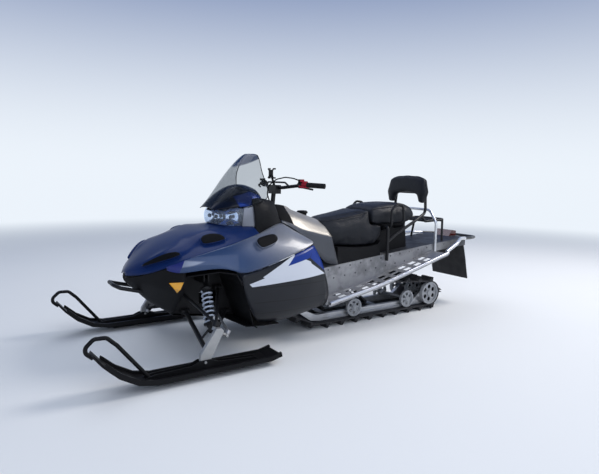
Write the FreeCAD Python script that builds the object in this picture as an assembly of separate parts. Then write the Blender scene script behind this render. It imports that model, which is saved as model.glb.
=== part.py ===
import FreeCAD, Part
import math
import os

# Two-up touring snowmobile. X is forward, Y is left, Z is up, millimetres.
# Places are written from the front drive's own datum, X = 0 at the rider's foot,
# and every solid is moved forward by DATUM_SHIFT so that the origin is the middle
# of the footprint, on the snow.

FRONT_REACH = 1570.0
REAR_REACH = -1700.0
DATUM_SHIFT = -(FRONT_REACH + REAR_REACH) / 2

# Track and drive
TRACK_WIDTH = 381.0
BELT_THICK = 8.0
LUG_HEIGHT = 32.0
LUG_ROOT = 16.0
LUG_TIP = 9.0
TRACK_PITCH = 64.0
DRIVE_X, DRIVE_Z, DRIVE_RADIUS = 300.0, 258.0, 85.0
IDLER_X, IDLER_RADIUS = -1090.0, 90.0
CONTACT_FRONT_X = 20.0
RAIL_Y = 118.0
RAIL_WIDTH = 30.0
RAIL_HEIGHT = 46.0
RUN_FIT = 0.3
BELT_SAG = 1.4
BOGIE_RADIUS = 66.0
AXLE_RADIUS = 12.0

# Tunnel, boards and rear bumper
TUNNEL_HALF = 212.0
TUNNEL_WALL = 3.0
TUNNEL_REAR_X = -1450.0
BOARD_EDGE_Y = 380.0
BOARD_WALL = 4.0
BOARD_RAIL = 18.0
BUMPER_RADIUS = 13.0
BUMPER_TAB_Y = 236.0
FLAP_THICK = 6.0
HITCH_BORE = 16.5
HITCH_PLATE = 8.0

# Body shells
SHELL_WALL = 5.0
SEAM = 0.5
SEAT_SIDE = 201.0
LAMP_PROUD = 5.0
SCREEN_WALL = 4.0

# Front suspension and steering
STANCE_HALF = 540.0
SKI_WIDTH = 150.0
SKI_PLATE = 12.0
SKI_BOLT_X = 985.0
KEEL_DEPTH = 22.0
KEEL_WIDTH = 26.0
WEAR_BAR = 8.0
LOOP_RADIUS = 10.0
PIN_RADIUS = 9.0
PIN_FIT = 0.1
ARM_RADIUS = 13.0
TIE_RADIUS = 7.0
SHOCK_RADIUS = 17.0
SPRING_OUTER = 33.0
SPRING_WIRE = 10.0
BAR_RADIUS = 11.0
GRIP_RADIUS = 16.5
POST_RADIUS = 15.0


def vec(x, y, z):
    return FreeCAD.Vector(x, y, z)


def face_of(points):
    return Part.Face(Part.makePolygon(points + [points[0]]))


def prism_xz(points, y0, y1):
    return face_of([vec(x, y0, z) for x, z in points]).extrude(vec(0, y1 - y0, 0))


def prism_xy(points, z0, z1):
    return face_of([vec(x, y, z0) for x, y in points]).extrude(vec(0, 0, z1 - z0))


def prism_yz(points, x0, x1):
    return face_of([vec(x0, y, z) for y, z in points]).extrude(vec(x1 - x0, 0, 0))


def block(x0, x1, y0, y1, z0, z1):
    return Part.makeBox(x1 - x0, y1 - y0, z1 - z0, vec(x0, y0, z0))


def rod(start, end, radius):
    return Part.makeCylinder(radius, (end - start).Length, start, end - start)


def ring(start, end, outer, inner):
    return rod(start, end, outer).cut(rod(start, end, inner))


def fused(shapes):
    whole = shapes[0]
    for shape in shapes[1:]:
        whole = whole.fuse(shape)
    return whole.removeSplitter()


def mirrored(shape):
    return shape.mirror(vec(0, 0, 0), vec(0, 1, 0))


def offset_line(points, wall):
    """The same open line, moved square to itself by wall, to its right."""
    moved = []
    last = len(points) - 1
    for i, (u, v) in enumerate(points):
        before = points[max(i - 1, 0)]
        after = points[min(i + 1, last)]
        run_a = FreeCAD.Vector(u - before[0], v - before[1], 0)
        run_b = FreeCAD.Vector(after[0] - u, after[1] - v, 0)
        if i == 0:
            run_a = run_b
        if i == last:
            run_b = run_a
        run_a.normalize()
        run_b.normalize()
        mean = run_a + run_b
        mean.normalize()
        reach = wall / max(mean.dot(run_a), 0.5)
        moved.append((u + mean.y * reach, v - mean.x * reach))
    return moved


def band(points, wall):
    """A closed outline: an open line given a thickness on its right side."""
    return list(points) + offset_line(points, wall)[::-1]


def strip_loft(stations, wall):
    """A curved wall through stations of (x, open line in y and z)."""
    wires = []
    for x, line in stations:
        outline = [vec(x, y, z) for y, z in band(line, wall)]
        wires.append(Part.makePolygon(outline + [outline[0]]))
    return Part.makeLoft(wires, True, True)


def solid_loft(stations):
    wires = []
    for x, line in stations:
        outline = [vec(x, y, z) for y, z in line]
        wires.append(Part.makePolygon(outline + [outline[0]]))
    return Part.makeLoft(wires, True, True)


def both_sides(half_line):
    """A line from the left edge over the centre, carried on to the right edge."""
    return list(half_line) + [(-y, z) for y, z in reversed(half_line) if y > 0]


def bent_rod(points, radius, bend):
    """A round bar along straight runs joined by tangent arcs."""
    spots = [vec(*p) for p in points]
    edges = []
    here = spots[0]
    for i in range(1, len(spots) - 1):
        back = (spots[i - 1] - spots[i])
        ahead = (spots[i + 1] - spots[i])
        shorter = min(back.Length, ahead.Length)
        back.normalize()
        ahead.normalize()
        turn = math.pi - back.getAngle(ahead)
        trim = min(bend * math.tan(turn / 2), shorter * 0.45)
        curve = trim / math.tan(turn / 2)
        start = spots[i] + back * trim
        end = spots[i] + ahead * trim
        bisector = back + ahead
        bisector.normalize()
        middle = spots[i] + bisector * (curve / math.cos(turn / 2) - curve)
        edges.append(Part.LineSegment(here, start).toShape())
        edges.append(Part.Arc(start, middle, end).toShape())
        here = end
    edges.append(Part.LineSegment(here, spots[-1]).toShape())
    circle = Part.Wire([Part.makeCircle(radius, spots[0], spots[1] - spots[0])])
    return Part.Wire(edges).makePipeShell([circle], True, False)


# Track

def track_corners():
    """Belt centre line round the drive circle, down to the snow and round the rear wheels."""
    belt = BELT_THICK / 2
    drive = (DRIVE_X, DRIVE_Z, DRIVE_RADIUS + belt)
    idler = (IDLER_X, LUG_HEIGHT + BELT_THICK + IDLER_RADIUS, IDLER_RADIUS + belt)
    flat_z = LUG_HEIGHT + belt
    path = []
    dx = drive[0] - idler[0]
    dz = drive[1] - idler[1]
    top_slope = math.atan2(dz, dx) + math.asin((drive[2] - idler[2]) / math.hypot(dx, dz))
    top_angle = top_slope + math.pi / 2
    climb_x = drive[0] - CONTACT_FRONT_X
    climb_z = drive[1] - flat_z
    reach = math.hypot(climb_x, climb_z)
    climb = math.atan2(climb_z, climb_x) - math.asin(drive[2] / reach)
    front_angle = climb - math.pi / 2
    steps = 40
    for k in range(steps + 1):
        angle = top_angle + (front_angle - top_angle) * k / steps
        path.append((drive[0] + drive[2] * math.cos(angle), drive[1] + drive[2] * math.sin(angle)))
    path.append((CONTACT_FRONT_X, flat_z))
    for k in range(steps + 1):
        angle = -math.pi / 2 - (1.5 * math.pi - top_angle) * k / steps
        path.append((idler[0] + idler[2] * math.cos(angle), idler[1] + idler[2] * math.sin(angle)))
    path.append(path[0])
    return path


def even_spots(path):
    """Pitch ends and lug roots along the closed path, three spots to a pitch."""
    lengths = [math.dist(path[i], path[i + 1]) for i in range(len(path) - 1)]
    rows = 2 * round(sum(lengths) / TRACK_PITCH / 2)
    pitch = sum(lengths) / rows
    spots = []
    run = 0.0
    leg = 0
    for row in range(rows):
        for lead in (0.0, (pitch - LUG_ROOT) / 2, (pitch + LUG_ROOT) / 2):
            want = row * pitch + lead
            while run + lengths[leg] < want:
                run += lengths[leg]
                leg += 1
            share = (want - run) / lengths[leg]
            a, b = path[leg], path[leg + 1]
            spots.append((a[0] + (b[0] - a[0]) * share, a[1] + (b[1] - a[1]) * share))
    return spots


def belt_outline(spots, offset, lug_rows):
    """Outer or inner outline of the belt, with a lug on every row whose parity is listed."""
    outline = []
    count = len(spots)
    for i, here in enumerate(spots):
        before = spots[i - 1]
        after = spots[(i + 1) % count]
        side = vec(after[0] - before[0], after[1] - before[1], 0).normalize()
        out = vec(-side.y, side.x, 0)
        root = vec(here[0], here[1], 0) + out * offset
        outline.append((root.x, root.y))
        if i % 3 and (i // 3) % 2 in lug_rows:
            inward = side * ((LUG_ROOT - LUG_TIP) / 2 * (1 if i % 3 == 1 else -1))
            tip = root + out * LUG_HEIGHT + inward
            outline.append((tip.x, tip.y))
    return outline


def track():
    spots = even_spots(track_corners())
    edge = TRACK_WIDTH / 2
    # columns: share of half width from, to, rows that carry a lug here
    bands = ((-1.0, -0.42, (0,)), (-0.42, 0.42, (1,)), (0.42, 1.0, (0,)))
    loops = []
    for start, end, rows in bands:
        outer = belt_outline(spots, BELT_THICK / 2, rows)
        inner = belt_outline(spots, -BELT_THICK / 2, ())
        loop = prism_xz(outer, start * edge, end * edge)
        loops.append(loop.cut(prism_xz(inner, start * edge, end * edge)))
    return loops[0].fuse(loops[1:])


def wheel(x, z, radius, y0, y1, hub, bore):
    """A spoked idler: rim, thin web and hub round an axle along Y."""
    middle = (y0 + y1) / 2
    rim = ring(vec(x, y0, z), vec(x, y1, z), radius, radius - 12)
    web = ring(vec(x, middle - 3, z), vec(x, middle + 3, z), radius - 10, hub - 2)
    boss = ring(vec(x, y0, z), vec(x, y1, z), hub, bore)
    whole = fused([rim, web, boss])
    for k in range(6):
        angle = math.radians(60 * k + 30)
        reach = (radius - 12 + hub) / 2
        spot = vec(x + reach * math.cos(angle), y0, z + reach * math.sin(angle))
        hole = (radius - 12 - hub) * 0.32
        whole = whole.cut(rod(spot, spot + vec(0, y1 - y0, 0), hole))
    return whole


def idler_z():
    return LUG_HEIGHT + BELT_THICK + IDLER_RADIUS


def drive_axle():
    teeth = 9
    inner = DRIVE_RADIUS - BELT_SAG
    shapes = [rod(vec(DRIVE_X, -TUNNEL_HALF + TUNNEL_WALL, DRIVE_Z),
                  vec(DRIVE_X, TUNNEL_HALF - TUNNEL_WALL, DRIVE_Z), AXLE_RADIUS + 3)]
    for side in (-1, 1):
        y0 = side * 75 - 22
        outline = []
        for k in range(teeth):
            for share, reach in ((-0.22, inner), (0.22, inner), (0.3, inner - 14), (0.7, inner - 14)):
                angle = 2 * math.pi * (k + share) / teeth
                outline.append((DRIVE_X + reach * math.cos(angle), DRIVE_Z + reach * math.sin(angle)))
        shapes.append(prism_xz(outline, y0, y0 + 44))
    return fused(shapes)


def rear_wheels():
    """Two rear idlers outside the rails and one between, on their axle."""
    z = idler_z()
    radius = IDLER_RADIUS - BELT_SAG
    parts = []
    for y0 in (-TRACK_WIDTH / 2 + 4, TRACK_WIDTH / 2 - 34, -15):
        parts.append(wheel(IDLER_X, z, radius, y0, y0 + 30, 24, AXLE_RADIUS))
    reach = TRACK_WIDTH / 2 - 2
    parts.append(rod(vec(IDLER_X, -reach, z), vec(IDLER_X, reach, z), AXLE_RADIUS))
    return fused(parts)


BOGIES = ((-860.0, 155.0), (-330.0, 155.0))


def bogie_wheels():
    """Small wheels on short axles through the rails."""
    groups = []
    z = LUG_HEIGHT + BELT_THICK + BOGIE_RADIUS
    for x, y in BOGIES:
        parts = [rod(vec(x, -y - 12, z), vec(x, y + 12, z), AXLE_RADIUS - 2)]
        for side in (-1, 1):
            y0 = side * y - 10
            parts.append(wheel(x, z, BOGIE_RADIUS - RUN_FIT, y0, y0 + 20, 20, AXLE_RADIUS - 2))
        groups.append(fused(parts))
    return Part.makeCompound(groups)


def skid_rails():
    """Slide rails with their plastic runners, curved up at the front, and two cross tubes."""
    base = LUG_HEIGHT + BELT_THICK + RUN_FIT
    nose_x = CONTACT_FRONT_X + 130
    outline = [(IDLER_X, base + 74), (IDLER_X + 36, base + 4), (IDLER_X + 60, base),
               (CONTACT_FRONT_X - 60, base), (CONTACT_FRONT_X + 10, base + 10),
               (nose_x, base + 92), (nose_x - 18, base + 112), (CONTACT_FRONT_X - 30, base + RAIL_HEIGHT),
               (IDLER_X + 130, base + RAIL_HEIGHT), (IDLER_X + 40, base + 112), (IDLER_X, base + 112)]
    rails = []
    for side in (-1, 1):
        y0 = side * RAIL_Y - RAIL_WIDTH / 2
        rail = prism_xz(outline, y0, y0 + RAIL_WIDTH)
        flute = block(IDLER_X + 150, CONTACT_FRONT_X - 90, 0, 9, base + 16, base + RAIL_HEIGHT - 10)
        for y in (y0 - 0.5, y0 + RAIL_WIDTH - 8.5):
            rail = rail.cut(flute.translated(vec(0, y, 0)))
        axle = rod(vec(IDLER_X, -400, idler_z()), vec(IDLER_X, 400, idler_z()), AXLE_RADIUS)
        rail = rail.cut(axle)
        for x, _ in BOGIES:
            z = LUG_HEIGHT + BELT_THICK + BOGIE_RADIUS
            rail = rail.cut(rod(vec(x, -400, z), vec(x, 400, z), AXLE_RADIUS - 2))
            lift = ring(vec(x, y0, z), vec(x, y0 + RAIL_WIDTH, z), 20, AXLE_RADIUS - 2)
            rail = rail.fuse(lift)
        rails.append(rail)
    inner = RAIL_Y - RAIL_WIDTH / 2
    for x in (CONTACT_FRONT_X - 140, -600.0):
        rails.append(rod(vec(x, -inner - 5, base + 26), vec(x, inner + 5, base + 26), 14))
    return fused(rails)


# columns: x and z of the swing arm's foot between the rails, x and z of its pivot in the tunnel
SKID_ARMS = ((-120.0, 104.0, 60.0, 262.0), (-520.0, 104.0, -330.0, 262.0))


def skid_arms():
    """Front and rear swing arms of the skid, with the coil shock between each pair of legs."""
    groups = []
    for x0, z0, x1, z1 in SKID_ARMS:
        top = TUNNEL_HALF - TUNNEL_WALL
        parts = [rod(vec(x1, -top, z1), vec(x1, top, z1), 14)]
        parts.append(rod(vec(x0, -62, z0), vec(x0, 62, z0), 13))
        for side in (-1, 1):
            parts.append(rod(vec(x0, side * 52, z0), vec(x1, side * 86, z1), 12))
        groups.append(fused(parts))
    return Part.makeCompound(groups)


# Tunnel, boards, bumper

TUNNEL_TOP = ((587.6, 375.0), (-46.0, 434.0), (-960.0, 524.0), (TUNNEL_REAR_X, 566.0))
BOARD_LINE = ((60.0, 226.0), (-380.0, 304.0), (-858.0, 430.0), (-1050.0, 480.0))


def tunnel():
    """Inverted channel with ears for the rear swing arm and a bearing for the steering post."""
    pivot_x, pivot_z = SKID_ARMS[1][2], SKID_ARMS[1][3]
    low = [(TUNNEL_REAR_X, 500.0), (-1050.0, 470.0), (-858.0, 416.0), (-380.0, 290.0),
           (pivot_x - 40, pivot_z + 16), (pivot_x - 20, pivot_z - 24), (pivot_x + 20, pivot_z - 24),
           (pivot_x + 50, pivot_z), (60.0, 212.0), (569.6, 216.0)]
    outer = prism_xz(list(TUNNEL_TOP) + low, -TUNNEL_HALF, TUNNEL_HALF)
    roof = [(x + (10 if i == 0 else 0), z - TUNNEL_WALL) for i, (x, z) in enumerate(TUNNEL_TOP)]
    roof[-1] = (TUNNEL_REAR_X - 10, roof[-1][1] + 1)
    void = roof + [(TUNNEL_REAR_X - 10, 100.0), (600.0, 100.0)]
    inner = TUNNEL_HALF - TUNNEL_WALL
    shell = outer.cut(prism_xz(void, -inner, inner))
    lean = (POST_TOP - POST_BASE).normalize()
    boss = rod(POST_BASE - lean * 6, POST_BASE + lean * 26, POST_RADIUS + 10)
    bore = rod(POST_BASE + lean * 2, POST_BASE + lean * 40, POST_RADIUS + PIN_FIT)
    return shell.fuse(boss.cut(bore)).removeSplitter()


def under_roof():
    """All that lies below the tunnel's top face, for what stands on it."""
    low = [(TUNNEL_REAR_X, 300.0), (560.0, 200.0)]
    return prism_xz(list(TUNNEL_TOP) + low, -TUNNEL_HALF, TUNNEL_HALF)


def board_section():
    """Side line of a running board, from the toe hold to the bumper."""
    return band(BOARD_LINE, -BOARD_WALL)


def running_board():
    """Left board: a sheet with grip slots, a raised outer rail and a toe hold at the front."""
    sheet = prism_xz(board_section(), TUNNEL_HALF, BOARD_EDGE_Y)
    rail = prism_xz(band(BOARD_LINE, -BOARD_RAIL), BOARD_EDGE_Y - 10, BOARD_EDGE_Y)
    board = sheet.fuse(rail)
    rows = 9
    for k in range(rows):
        x = -60 - k * 100
        for y in (TUNNEL_HALF + 30, TUNNEL_HALF + 88):
            board = board.cut(block(x - 62, x, y, y + 40, 150, 600))
    lip = prism_xz([(52, 222), (78, 222), (96, 330), (84, 330)], TUNNEL_HALF, BOARD_EDGE_Y - 12)
    return board.fuse(lip).removeSplitter()


def rear_bumper():
    """Alloy bumper tube from board to board, with a tab to each rear corner of the tunnel."""
    half = [(-1049.7, 366.0, 490.0), (-1180.0, 352.0, 544.0), (-1330.0, 262.0, 566.0),
            (-1520.0, 206.0, 556.0), (REAR_REACH + BUMPER_RADIUS, 120.0, 545.0)]
    points = half + [(x, -y, z) for x, y, z in reversed(half)]
    parts = [bent_rod(points, BUMPER_RADIUS, 70)]
    for side in (-1, 1):
        ends = sorted((side * TUNNEL_HALF, side * BUMPER_TAB_Y))
        parts.append(block(-1420, -1370, ends[0], ends[1], 553, 559))
    board = running_board()
    return fused(parts).cut(board).cut(mirrored(board))


def snow_flap():
    """Rubber flap hung on the tunnel's end, notched round the tow tongue."""
    x = TUNNEL_REAR_X - RUN_FIT
    line = ((x, 559.5), (x, 520.0), (x - 38, 380.0), (x - 78, 206.0))
    flap = prism_xz(band(line, FLAP_THICK), -190, 190)
    return flap.cut(block(-1700, -1300, -29, 29, 535, 600))


def tail_light():
    outline = [(-1452.0, 560.0), (-1490.0, 570.0), (-1490.0, 604.0), (-1440.0, 612.0), (-1400.0, 560.0)]
    return prism_xz(outline, -80, 80).cut(under_roof())


def hitch():
    """Tow tongue on a cross plate under the tunnel's end, with a bore for the hitch pin."""
    inner = TUNNEL_HALF - TUNNEL_WALL
    plate = block(-1440, -1396, -inner, inner, 536, 536 + HITCH_PLATE)
    tongue = block(-1600, -1410, -28, 28, 536, 536 + HITCH_PLATE)
    end = rod(vec(-1600, 0, 536), vec(-1600, 0, 536 + HITCH_PLATE), 28)
    bore = rod(vec(-1600, 0, 500), vec(-1600, 0, 600), HITCH_BORE / 2)
    return fused([plate, tongue, end]).cut(bore)


# Body shells

# columns: x, half line of the hood from its left edge to its centre
HOOD = (
    (1252.0, ((70, 462), (52, 474), (24, 481), (0, 484))),
    (1190.0, ((205, 505), (168, 528), (90, 545), (0, 550))),
    (1090.0, ((318, 566), (262, 598), (140, 622), (0, 624))),
    (950.0, ((368, 598), (290, 640), (165, 692), (0, 688))),
    (790.0, ((362, 630), (285, 676), (190, 738), (0, 742))),
    (690.0, ((344, 660), (275, 700), (205, 748), (0, 752))),
    (560.0, ((300, 705), (250, 735), (200, 752), (0, 756))),
)


# columns: x, y of the eyelid openings in the left half of the hood
FRONT_VENT = ((1180, 142), (1150, 180), (1115, 218), (1080, 250), (1045, 276), (1020, 290), (1020, 308),
              (1045, 300), (1080, 277), (1115, 243), (1150, 199), (1180, 155))
REAR_VENT = ((910, 262), (895, 252), (855, 249), (815, 254), (780, 273), (760, 286), (760, 312),
             (780, 312), (815, 310), (855, 303), (895, 291), (910, 280))


def hood():
    """Hood shell with two long eyelid vents each side."""
    shell = strip_loft([(x, both_sides(line)) for x, line in HOOD], -SHELL_WALL)
    for outline in (FRONT_VENT, REAR_VENT):
        vent = prism_xy(outline, 500, 800)
        shell = shell.cut(vent).cut(mirrored(vent))
    return shell


# columns: x, line down the left side of the body from its top edge to its foot
BODY_SIDE = (
    (1046.0, ((334.5, 575), (372, 552), (356, 496), (345, 450), (330, 400))),
    (840.0, ((364.5, 619), (402, 585), (425, 526), (415, 440), (380, 300))),
    (740.0, ((353.5, 644), (408, 600), (450, 508), (446, 400), (400, 190))),
    (600.0, ((314, 690), (398, 640), (446, 540), (450, 380), (402, 175))),
    (460.0, ((268, 728), (370, 690), (438, 572), (450, 370), (400, 165))),
    (330.0, ((222, 752), (318, 712), (424, 600), (446, 375), (396, 176))),
    (230.0, ((246, 700), (300, 690), (396, 622), (436, 390), (390, 196))),
    (160.0, ((330, 642), (345, 640), (372, 634), (424, 400), (386, 212))),
    (60.0, ((342, 640), (350, 632), (362, 600), (386, 400), (380, 232))),
)
SILVER_EDGE = ((1050.0, 600.0), (600.0, 720.0), (330.0, 764.0), (288.0, 738.0), (222.0, 672.0), (172.0, 641.0))
CREASE = ((172.0, 641.0), (500.0, 556.0), (742.0, 507.0))
WELL_TOP = ((742.0, 507.0), (839.0, 524.0), (1050.0, 497.0))
PANEL_FRONT = ((742.0, 507.0), (712.0, 430.0), (654.0, 262.0), (572.0, 190.0))
PANEL_FOOT = ((417.0, 160.0), (76.0, 226.0), (61.0, 330.0), (110.0, 520.0))


def body_side():
    return strip_loft([(x, line[::-1]) for x, line in BODY_SIDE], -SHELL_WALL)


def upper_side():
    """Left silver flank, from the hood's edge down to the crease, with its grille slot."""
    outline = list(SILVER_EDGE) + list(CREASE[1:]) + list(WELL_TOP[1:])
    flank = body_side().common(prism_xz(outline, 100, 500))
    slot = [(612.0, 656.0), (470.0, 690.0), (450.0, 676.0), (462.0, 640.0), (590.0, 606.0), (616.0, 624.0)]
    return flank.cut(prism_xz(slot, 200, 500)).cut(hood())


def lower_side():
    """Left charcoal side panel below the crease, with two pressed grooves."""
    outline = list(CREASE) + list(PANEL_FRONT[1:]) + list(PANEL_FOOT)
    return body_side().common(prism_xz([(x, z - SEAM) for x, z in outline], 100, 500))


# columns: x, half line of the lower nose from its left top edge to the keel
NOSE = (
    (1238.0, ((74, 455), (66, 440), (40, 420), (0, 414))),
    (1180.0, ((200, 494), (170, 440), (84, 372), (0, 366))),
    (1110.0, ((286, 540), (262, 430), (100, 292), (0, 282))),
    (1006.0, ((352, 566), (338, 420), (128, 232), (0, 226))),
)


def nose():
    """Black lower nose shell, closed at the back by the front wall of the wells."""
    shell = strip_loft([(x, both_sides(line)) for x, line in NOSE], SHELL_WALL)
    x, line = NOSE[-1]
    closing = prism_yz(both_sides(line), x, x + SHELL_WALL)
    return fused([shell, closing]).cut(front_bumper())


def belly_pan():
    front = NOSE[-1][0] - RUN_FIT
    line = ((front, 226.0), (700.0, 182.0), (560.0, 169.0), (446.0, 167.0))
    sheet = prism_xz(band(line, -SHELL_WALL), -395, 395)
    plan = [(front, 124.0), (706.0, 132.0), (664.0, 395.0), (446.0, 395.0)]
    outline = plan + [(x, -y) for x, y in reversed(plan)]
    well = wheel_well()
    return fused([sheet.common(prism_xy(outline, 100, 400)), well, mirrored(well)])


def wheel_well():
    """Left well liner: its roof and the rear wall that leans with the side panel's front edge."""
    line = ((1004.0, 492.0), (840.0, 512.0), (748.0, 496.0), (712.0, 430.0), (652.0, 264.0), (620.0, 172.0))
    rows = []
    for x, side in BODY_SIDE:
        inner = offset_line(side[::-1], -SHELL_WALL - RUN_FIT)
        rows.append((x, inner + [(600.0, inner[-1][1]), (600.0, inner[0][1])]))
    return prism_xz(band(line, SHELL_WALL), 136, 440).cut(solid_loft(rows))


def bulkhead():
    """Front chassis box between the wells, with the tabs that hold arms and shocks."""
    front = NOSE[-1][0] - RUN_FIT
    outline = [(front, 238.0), (front, 480.0), (600.0, 480.0), (566.0, 180.0), (700.0, 192.0)]
    hollow = [(front - 6, 246.0), (front - 6, 474.0), (606.0, 474.0), (573.0, 186.0), (698.0, 198.0)]
    box = prism_xz(outline, -CHASSIS_HALF, CHASSIS_HALF)
    box = box.cut(prism_xz(hollow, -CHASSIS_HALF + 6, CHASSIS_HALF - 6))
    gate = block(736, 846, -400, 400, 276, 346)
    box = box.cut(gate)
    parts = []
    for x, z in LOWER_PIVOTS + UPPER_PIVOTS:
        parts.append(rod(vec(x - 27, PIVOT_Y, z), vec(x + 27, PIVOT_Y, z), SHOCK_BOLT))
        parts += pivot_tabs(x, z)
    top, bolt_y, bolt_z = SHOCK_TOP.x, SHOCK_TOP.y, SHOCK_TOP.z
    parts.append(rod(vec(top - 16, bolt_y, bolt_z), vec(top + 16, bolt_y, bolt_z), SHOCK_BOLT))
    for side in (-1, 1):
        tab = [(CHASSIS_HALF - 2, 478.0), (CHASSIS_HALF - 2, 425.0), (bolt_y, bolt_z - 14),
               (bolt_y + 14, bolt_z), (bolt_y + 14, 478.0)]
        x0 = top + side * 12.5 - 3
        parts.append(prism_yz(tab, x0, x0 + 6))
    left = fused(parts)
    return fused([box, left, mirrored(left)])


def engine():
    feet = block(612, 720, -60, 60, 480 + RUN_FIT, 524)
    return block(470.0, 740.0, -200, 200, 524, 676).fuse(feet).removeSplitter()


# columns: x, y of the lamp's front line in plan, from the middle to its side
LAMP_LINE = ((741.0, 0.0), (735.0, 45.0), (717.0, 90.0), (687.0, 130.0), (647.0, 164.0), (603.0, 188.0),
             (567.0, 196.0))
# columns: z, how far the glass swells out of that line
LAMP_SWELL = ((740.0, -4.0), (765.0, 4.0), (795.0, 7.0), (825.0, 2.0), (838.0, -6.0))


def headlight():
    """Wrapped twin lamp with swelling glass, seated on the hood under the dome's brow."""
    line = [(x, -y) for x, y in reversed(LAMP_LINE)] + list(LAMP_LINE[1:])
    wires = []
    for z, swell in LAMP_SWELL:
        outline = [vec(x, y, z) for x, y in offset_line(line, swell)]
        wires.append(Part.makePolygon(outline + [outline[0]]))
    lamp = Part.makeLoft(wires, True, True).cut(hood()).cut(pod_hull())
    return max(lamp.Solids, key=lambda piece: piece.Volume)


# columns: x, half line of the dome from its left foot to its centre
POD = (
    (747.0, ((100, 834), (84, 841), (50, 846), (0, 848))),
    (730.0, ((122, 838), (104, 852), (62, 863), (0, 868))),
    (700.0, ((150, 842), (128, 870), (78, 890), (0, 898))),
    (660.0, ((176, 848), (150, 892), (90, 922), (0, 934))),
    (625.0, ((192, 853), (162, 908), (98, 946), (0, 962))),
    (585.0, ((203, 857), (170, 920), (102, 966), (0, 984))),
    (535.0, ((205, 864), (170, 928), (102, 977), (0, 996))),
    (485.0, ((197, 870), (162, 926), (96, 972), (0, 992))),
    (440.0, ((184, 872), (150, 914), (90, 954), (0, 974))),
)


def pod():
    """Dark dome over the lamp and under the screen, with the instrument face to the rider."""
    dome = strip_loft([(x, both_sides(line)) for x, line in POD], -SHELL_WALL)
    face = prism_xz([(440.0, 872.0), (440.0, 930.0), (352.0, 892.0), (346.0, 862.0)], -78, 78)
    rear_wall = prism_yz([(-181, 873), (181, 873), (120, 905), (-120, 905)], 435, 440)
    return fused([dome, face, rear_wall])


def pod_hull():
    """The dome filled in and a little larger, that the screen and lamp are trimmed to."""
    return solid_loft([(x, offset_line(both_sides(line), RUN_FIT)) for x, line in POD])


# columns: x, line up the left shroud from its foot to its top
SHROUD = (
    (597.0, ((200, 733), (204, 752), (206, 790), (204, 824), (192, 852))),
    (566.0, ((213, 730), (214, 752), (214, 800), (210, 836), (198, 862))),
    (532.0, ((224, 727), (222, 756), (220, 806), (216, 846), (200, 872))),
    (526.0, ((236, 716), (238, 760), (236, 812), (222, 862), (176, 908))),
    (489.0, ((250, 722), (250, 756), (244, 812), (224, 866), (172, 910))),
    (444.0, ((252, 728), (252, 752), (244, 810), (220, 866), (166, 906))),
    (394.0, ((238, 735), (236, 752), (228, 806), (206, 862), (160, 894))),
    (339.0, ((212, 742), (204, 756), (192, 800), (176, 852), (148, 884))),
)


def pod_side():
    """Left shroud from the lamp back to the console, raised where the bar's foot passes."""
    shroud = strip_loft(SHROUD, -SHELL_WALL).cut(hood()).cut(pod())
    return max(shroud.Solids, key=lambda piece: piece.Volume)


# columns: z, half line of the screen in plan from its left edge to its middle
SCREEN = (
    (842.0, ((563, 190), (625, 168), (676, 134), (714, 92), (735, 47), (743, 0))),
    (850.0, ((575, 200), (635, 176), (687, 142), (727, 98), (749, 50), (757, 0))),
    (890.0, ((523, 212), (595, 192), (651, 160), (693, 112), (715, 56), (721, 0))),
    (940.0, ((480, 218), (555, 200), (611, 168), (651, 118), (673, 60), (679, 0))),
    (990.0, ((455, 216), (525, 200), (577, 168), (615, 118), (635, 60), (641, 0))),
    (1040.0, ((440, 206), (497, 192), (545, 160), (580, 112), (599, 58), (605, 0))),
    (1085.0, ((430, 184), (475, 170), (515, 142), (547, 100), (565, 52), (571, 0))),
    (1125.0, ((423, 154), (457, 142), (489, 118), (515, 84), (532, 44), (537, 0))),
    (1158.0, ((421, 114), (444, 106), (467, 88), (486, 64), (499, 34), (503, 0))),
    (1182.0, ((425, 64), (437, 60), (450, 50), (462, 36), (470, 20), (473, 0))),
)


def windshield():
    """Clear screen wrapped round the dome, widest at its wings and rounded at the top."""
    wires = []
    for z, half in SCREEN:
        line = list(half) + [(x, -y) for x, y in reversed(half[:-1])]
        outline = [vec(x, y, z) for x, y in band(line, SCREEN_WALL)]
        wires.append(Part.makePolygon(outline + [outline[0]]))
    sheet = Part.makeLoft(wires, True, True).cut(pod_hull())
    return max(sheet.Solids, key=lambda piece: piece.Volume)


# columns: x, half line of the tank cover from its left foot to its centre
TANK = (
    (320.0, ((210, 752), (196, 765), (152, 800), (92, 850), (45, 800), (0, 790))),
    (285.0, ((216, 738), (204, 755), (158, 802), (98, 850), (50, 792), (0, 782))),
    (235.0, ((236, 704), (218, 738), (166, 792), (100, 838), (52, 794), (0, 784))),
    (180.0, ((246, 660), (228, 706), (168, 777), (98, 822), (50, 808), (0, 806))),
    (135.0, ((249, 612), (230, 694), (168, 762), (94, 808), (48, 806), (0, 806))),
    (75.0, ((247, 550), (222, 680), (164, 744), (85, 787), (45, 782), (0, 782))),
    (15.0, ((240, 492), (216, 664), (158, 724), (76, 772), (40, 771), (0, 772))),
    (-45.0, ((228, 448), (208, 650), (152, 706), (70, 752), (36, 752), (0, 753))),
    (-80.0, ((217.3, 438), (205, 642), (150, 698), (66, 744), (34, 745), (0, 746))),
    (-135.0, ((217.3, 444), (203, 634), (148, 690), (64, 738), (34, 740), (0, 742))),
)
# columns: x, z of the raked joint where the cushion's nose lies over the console
NOSE_JOINT = ((-38.0, 790.0), (-100.0, 568.0))
POST_HOLE = (276.0, 36.0)
CAP_X = 31.0
CAP_STEM = 32.0


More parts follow.
